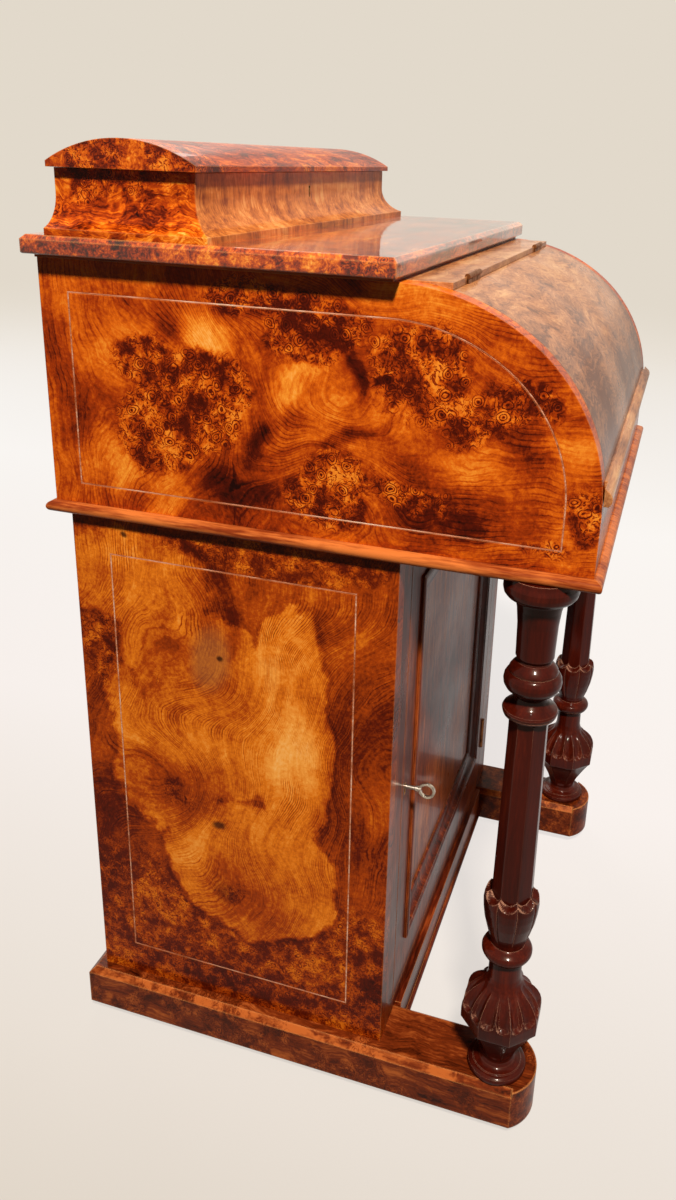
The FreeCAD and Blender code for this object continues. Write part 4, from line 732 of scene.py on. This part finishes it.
# ---------------------------------------------------------------- the stage, the light and the camera
def seen_rays(nodes, links):
    """1 for the rays that see the background: the camera's own, and those off gloss and through glass."""
    path = nodes.new("ShaderNodeLightPath")
    seen = path.outputs["Is Camera Ray"]
    for other in ("Is Glossy Ray", "Is Transmission Ray"):
        either = nodes.new("ShaderNodeMath")
        either.operation = "MAXIMUM"
        links.new(seen, either.inputs[0])
        links.new(path.outputs[other], either.inputs[1])
        seen = either.outputs[0]
    return seen


def floor():
    """Pale paper that takes the shadow near the desk and runs into the backdrop far off."""
    mesh = bpy.data.meshes.new("floor")
    work = bmesh.new()
    reach = 30.0
    for x, y in ((-reach, -reach), (reach, -reach), (reach, reach), (-reach, reach)):
        work.verts.new((x, y, 0))
    work.faces.new(work.verts)
    work.to_mesh(mesh)
    work.free()
    ground = bpy.data.objects.new("floor", mesh)
    bpy.context.scene.collection.objects.link(ground)
    tree = Tree("floor_paper")
    away = tree.split(tree.at)[0]
    # painted light: the paper is palest in a broad band beyond the desk along +X, and darker towards -X and
    # far off
    painted_light_tones = ((0.0, colour(206, 196, 180)), (0.06, colour(230, 222, 213)), (0.14, colour(246, 240, 237)),
             (0.30, colour(252, 249, 246)), (0.66, colour(236, 228, 217)), (1.0, PAPER))
    tone = tree.ramp(tree.span(away, -0.8, 7.2, smooth=False), painted_light_tones)
    grit = tree.noise(tree.at, 300.0, 2.0)
    tone = tree.mix(tree.span(grit, 0.3, 0.7, 0.0, 0.02), tone, colour(210, 200, 188) + (1.0,))
    distance = tree.vector("LENGTH", tree.at)
    tone = tree.mix(tree.span(distance, 3.0, 7.5), tone, PAPER + (1.0,))
    # near the desk a little of the lamps' light, which the shadow takes away; far off only the paper's own
    own_light = 0.85
    lamp_light = 0.14
    far = tree.span(distance, 1.4, 4.5)
    lit_tone = tree.mix(far, tone, (0.0, 0.0, 0.0, 1.0))
    matt = tree.add("ShaderNodeBsdfDiffuse", {"Color": lit_tone, "Roughness": 0.5})
    glow = tree.math("MULTIPLY", tree.lerp(far, own_light, 1.0), seen_rays(tree.nodes, tree.links))
    lit = tree.add("ShaderNodeEmission", {"Color": tone, "Strength": glow})
    part = tree.add("ShaderNodeMixShader", {0: 1 - lamp_light, 1: matt.outputs[0]})
    both = tree.add("ShaderNodeAddShader", {0: part.outputs[0], 1: lit.outputs[0]})
    tree.links.new(both.outputs[0], tree.add("ShaderNodeOutputMaterial").inputs["Surface"])
    mesh.materials.append(tree.material)


def world():
    """A weak warm fill for the desk, and the paper's colour for the rays that see the background."""
    surround = bpy.data.worlds.new("studio")
    bpy.context.scene.world = surround
    surround.use_nodes = True
    nodes = surround.node_tree.nodes
    links = surround.node_tree.links
    nodes.clear()
    fill = nodes.new("ShaderNodeBackground")
    fill.inputs["Color"].default_value = (1.0, 0.93, 0.86, 1.0)
    fill.inputs["Strength"].default_value = 0.025
    paper = nodes.new("ShaderNodeBackground")
    paper.inputs["Color"].default_value = PAPER + (1.0,)
    paper.inputs["Strength"].default_value = 1.0
    mixed = nodes.new("ShaderNodeMixShader")
    links.new(seen_rays(nodes, links), mixed.inputs[0])
    links.new(fill.outputs[0], mixed.inputs[1])
    links.new(paper.outputs[0], mixed.inputs[2])
    links.new(mixed.outputs[0], nodes.new("ShaderNodeOutputWorld").inputs["Surface"])


def softbox(name, place, target, width, height, radiance, tint):
    """An area lamp given by what it shines per unit of its face."""
    lamp = bpy.data.lights.new(name, "AREA")
    lamp.shape = "RECTANGLE"
    lamp.size = width
    lamp.size_y = height
    lamp.energy = radiance * math.pi * width * height
    lamp.color = tint
    holder = bpy.data.objects.new(name, lamp)
    bpy.context.scene.collection.objects.link(holder)
    way = Vector(target) - Vector(place)
    holder.matrix_world = Matrix.Translation(place) @ way.to_track_quat("-Z", "Y").to_matrix().to_4x4()


def lights():
    softbox("key", (-2.45, -0.95, 3.80), (-0.15, 0, 0.6), 0.36, 0.36, 650.0, (1.0, 0.93, 0.84))
    softbox("sky", (3.0, -0.9, 2.0), (0, 0, 0.8), 3.2, 2.2, 0.42, (1.0, 0.84, 0.68))
    softbox("right", (2.6, 1.8, 3.0), (0, 0, 0.5), 1.6, 1.6, 4.5, (1.0, 0.92, 0.84))
    softbox("front", (0.9, -3.0, 1.0), (0, 0, 0.5), 1.2, 1.2, 0.6, (1.0, 0.92, 0.84))


def camera():
    """The camera that a fit of the desk's straight edges gave, as a place, three turns and a lens."""
    place = Vector((-1.0561, -0.3112, 0.9779))
    yaw = math.radians(-73.1)
    pitch = math.radians(-19.6)
    roll = math.radians(2.0)
    focal_pixels = 978.0
    long_side = 1200.0
    wide_side = 676.0
    middle = (382.0, 505.2)
    ahead = Vector((-math.sin(yaw) * math.cos(pitch), math.cos(yaw) * math.cos(pitch), math.sin(pitch)))
    level = Vector((math.cos(yaw), math.sin(yaw), 0))
    above = level.cross(ahead)
    right = level * math.cos(roll) + above * math.sin(roll)
    up = above * math.cos(roll) - level * math.sin(roll)
    data = bpy.data.cameras.new("camera")
    data.sensor_width = 36.0
    data.lens = focal_pixels / long_side * data.sensor_width
    data.shift_x = (wide_side / 2 - middle[0]) / long_side
    data.shift_y = (middle[1] - long_side / 2) / long_side
    view = bpy.data.objects.new("camera", data)
    bpy.context.scene.collection.objects.link(view)
    turn = Matrix((right, up, -ahead)).transposed().to_4x4()
    view.matrix_world = Matrix.Translation(place) @ turn
    bpy.context.scene.camera = view


# ---------------------------------------------------------------- everything
dress_nodes()
turned_walnut = plain_figure("walnut_column", DARK_STOPS, Z, curl=0.002, contrast=0.5, coat=0.20,
                             coat_rough=0.09, edge_light=0.6, edge_radius=0.0007, worn_tint=CARVING_WEAR_AND_HIGHLIGHT)
for side in ("left", "right"):
    column(side, turned_walnut)
floor()
world()
lights()
camera()
bpy.context.scene.view_settings.view_transform = "Standard"
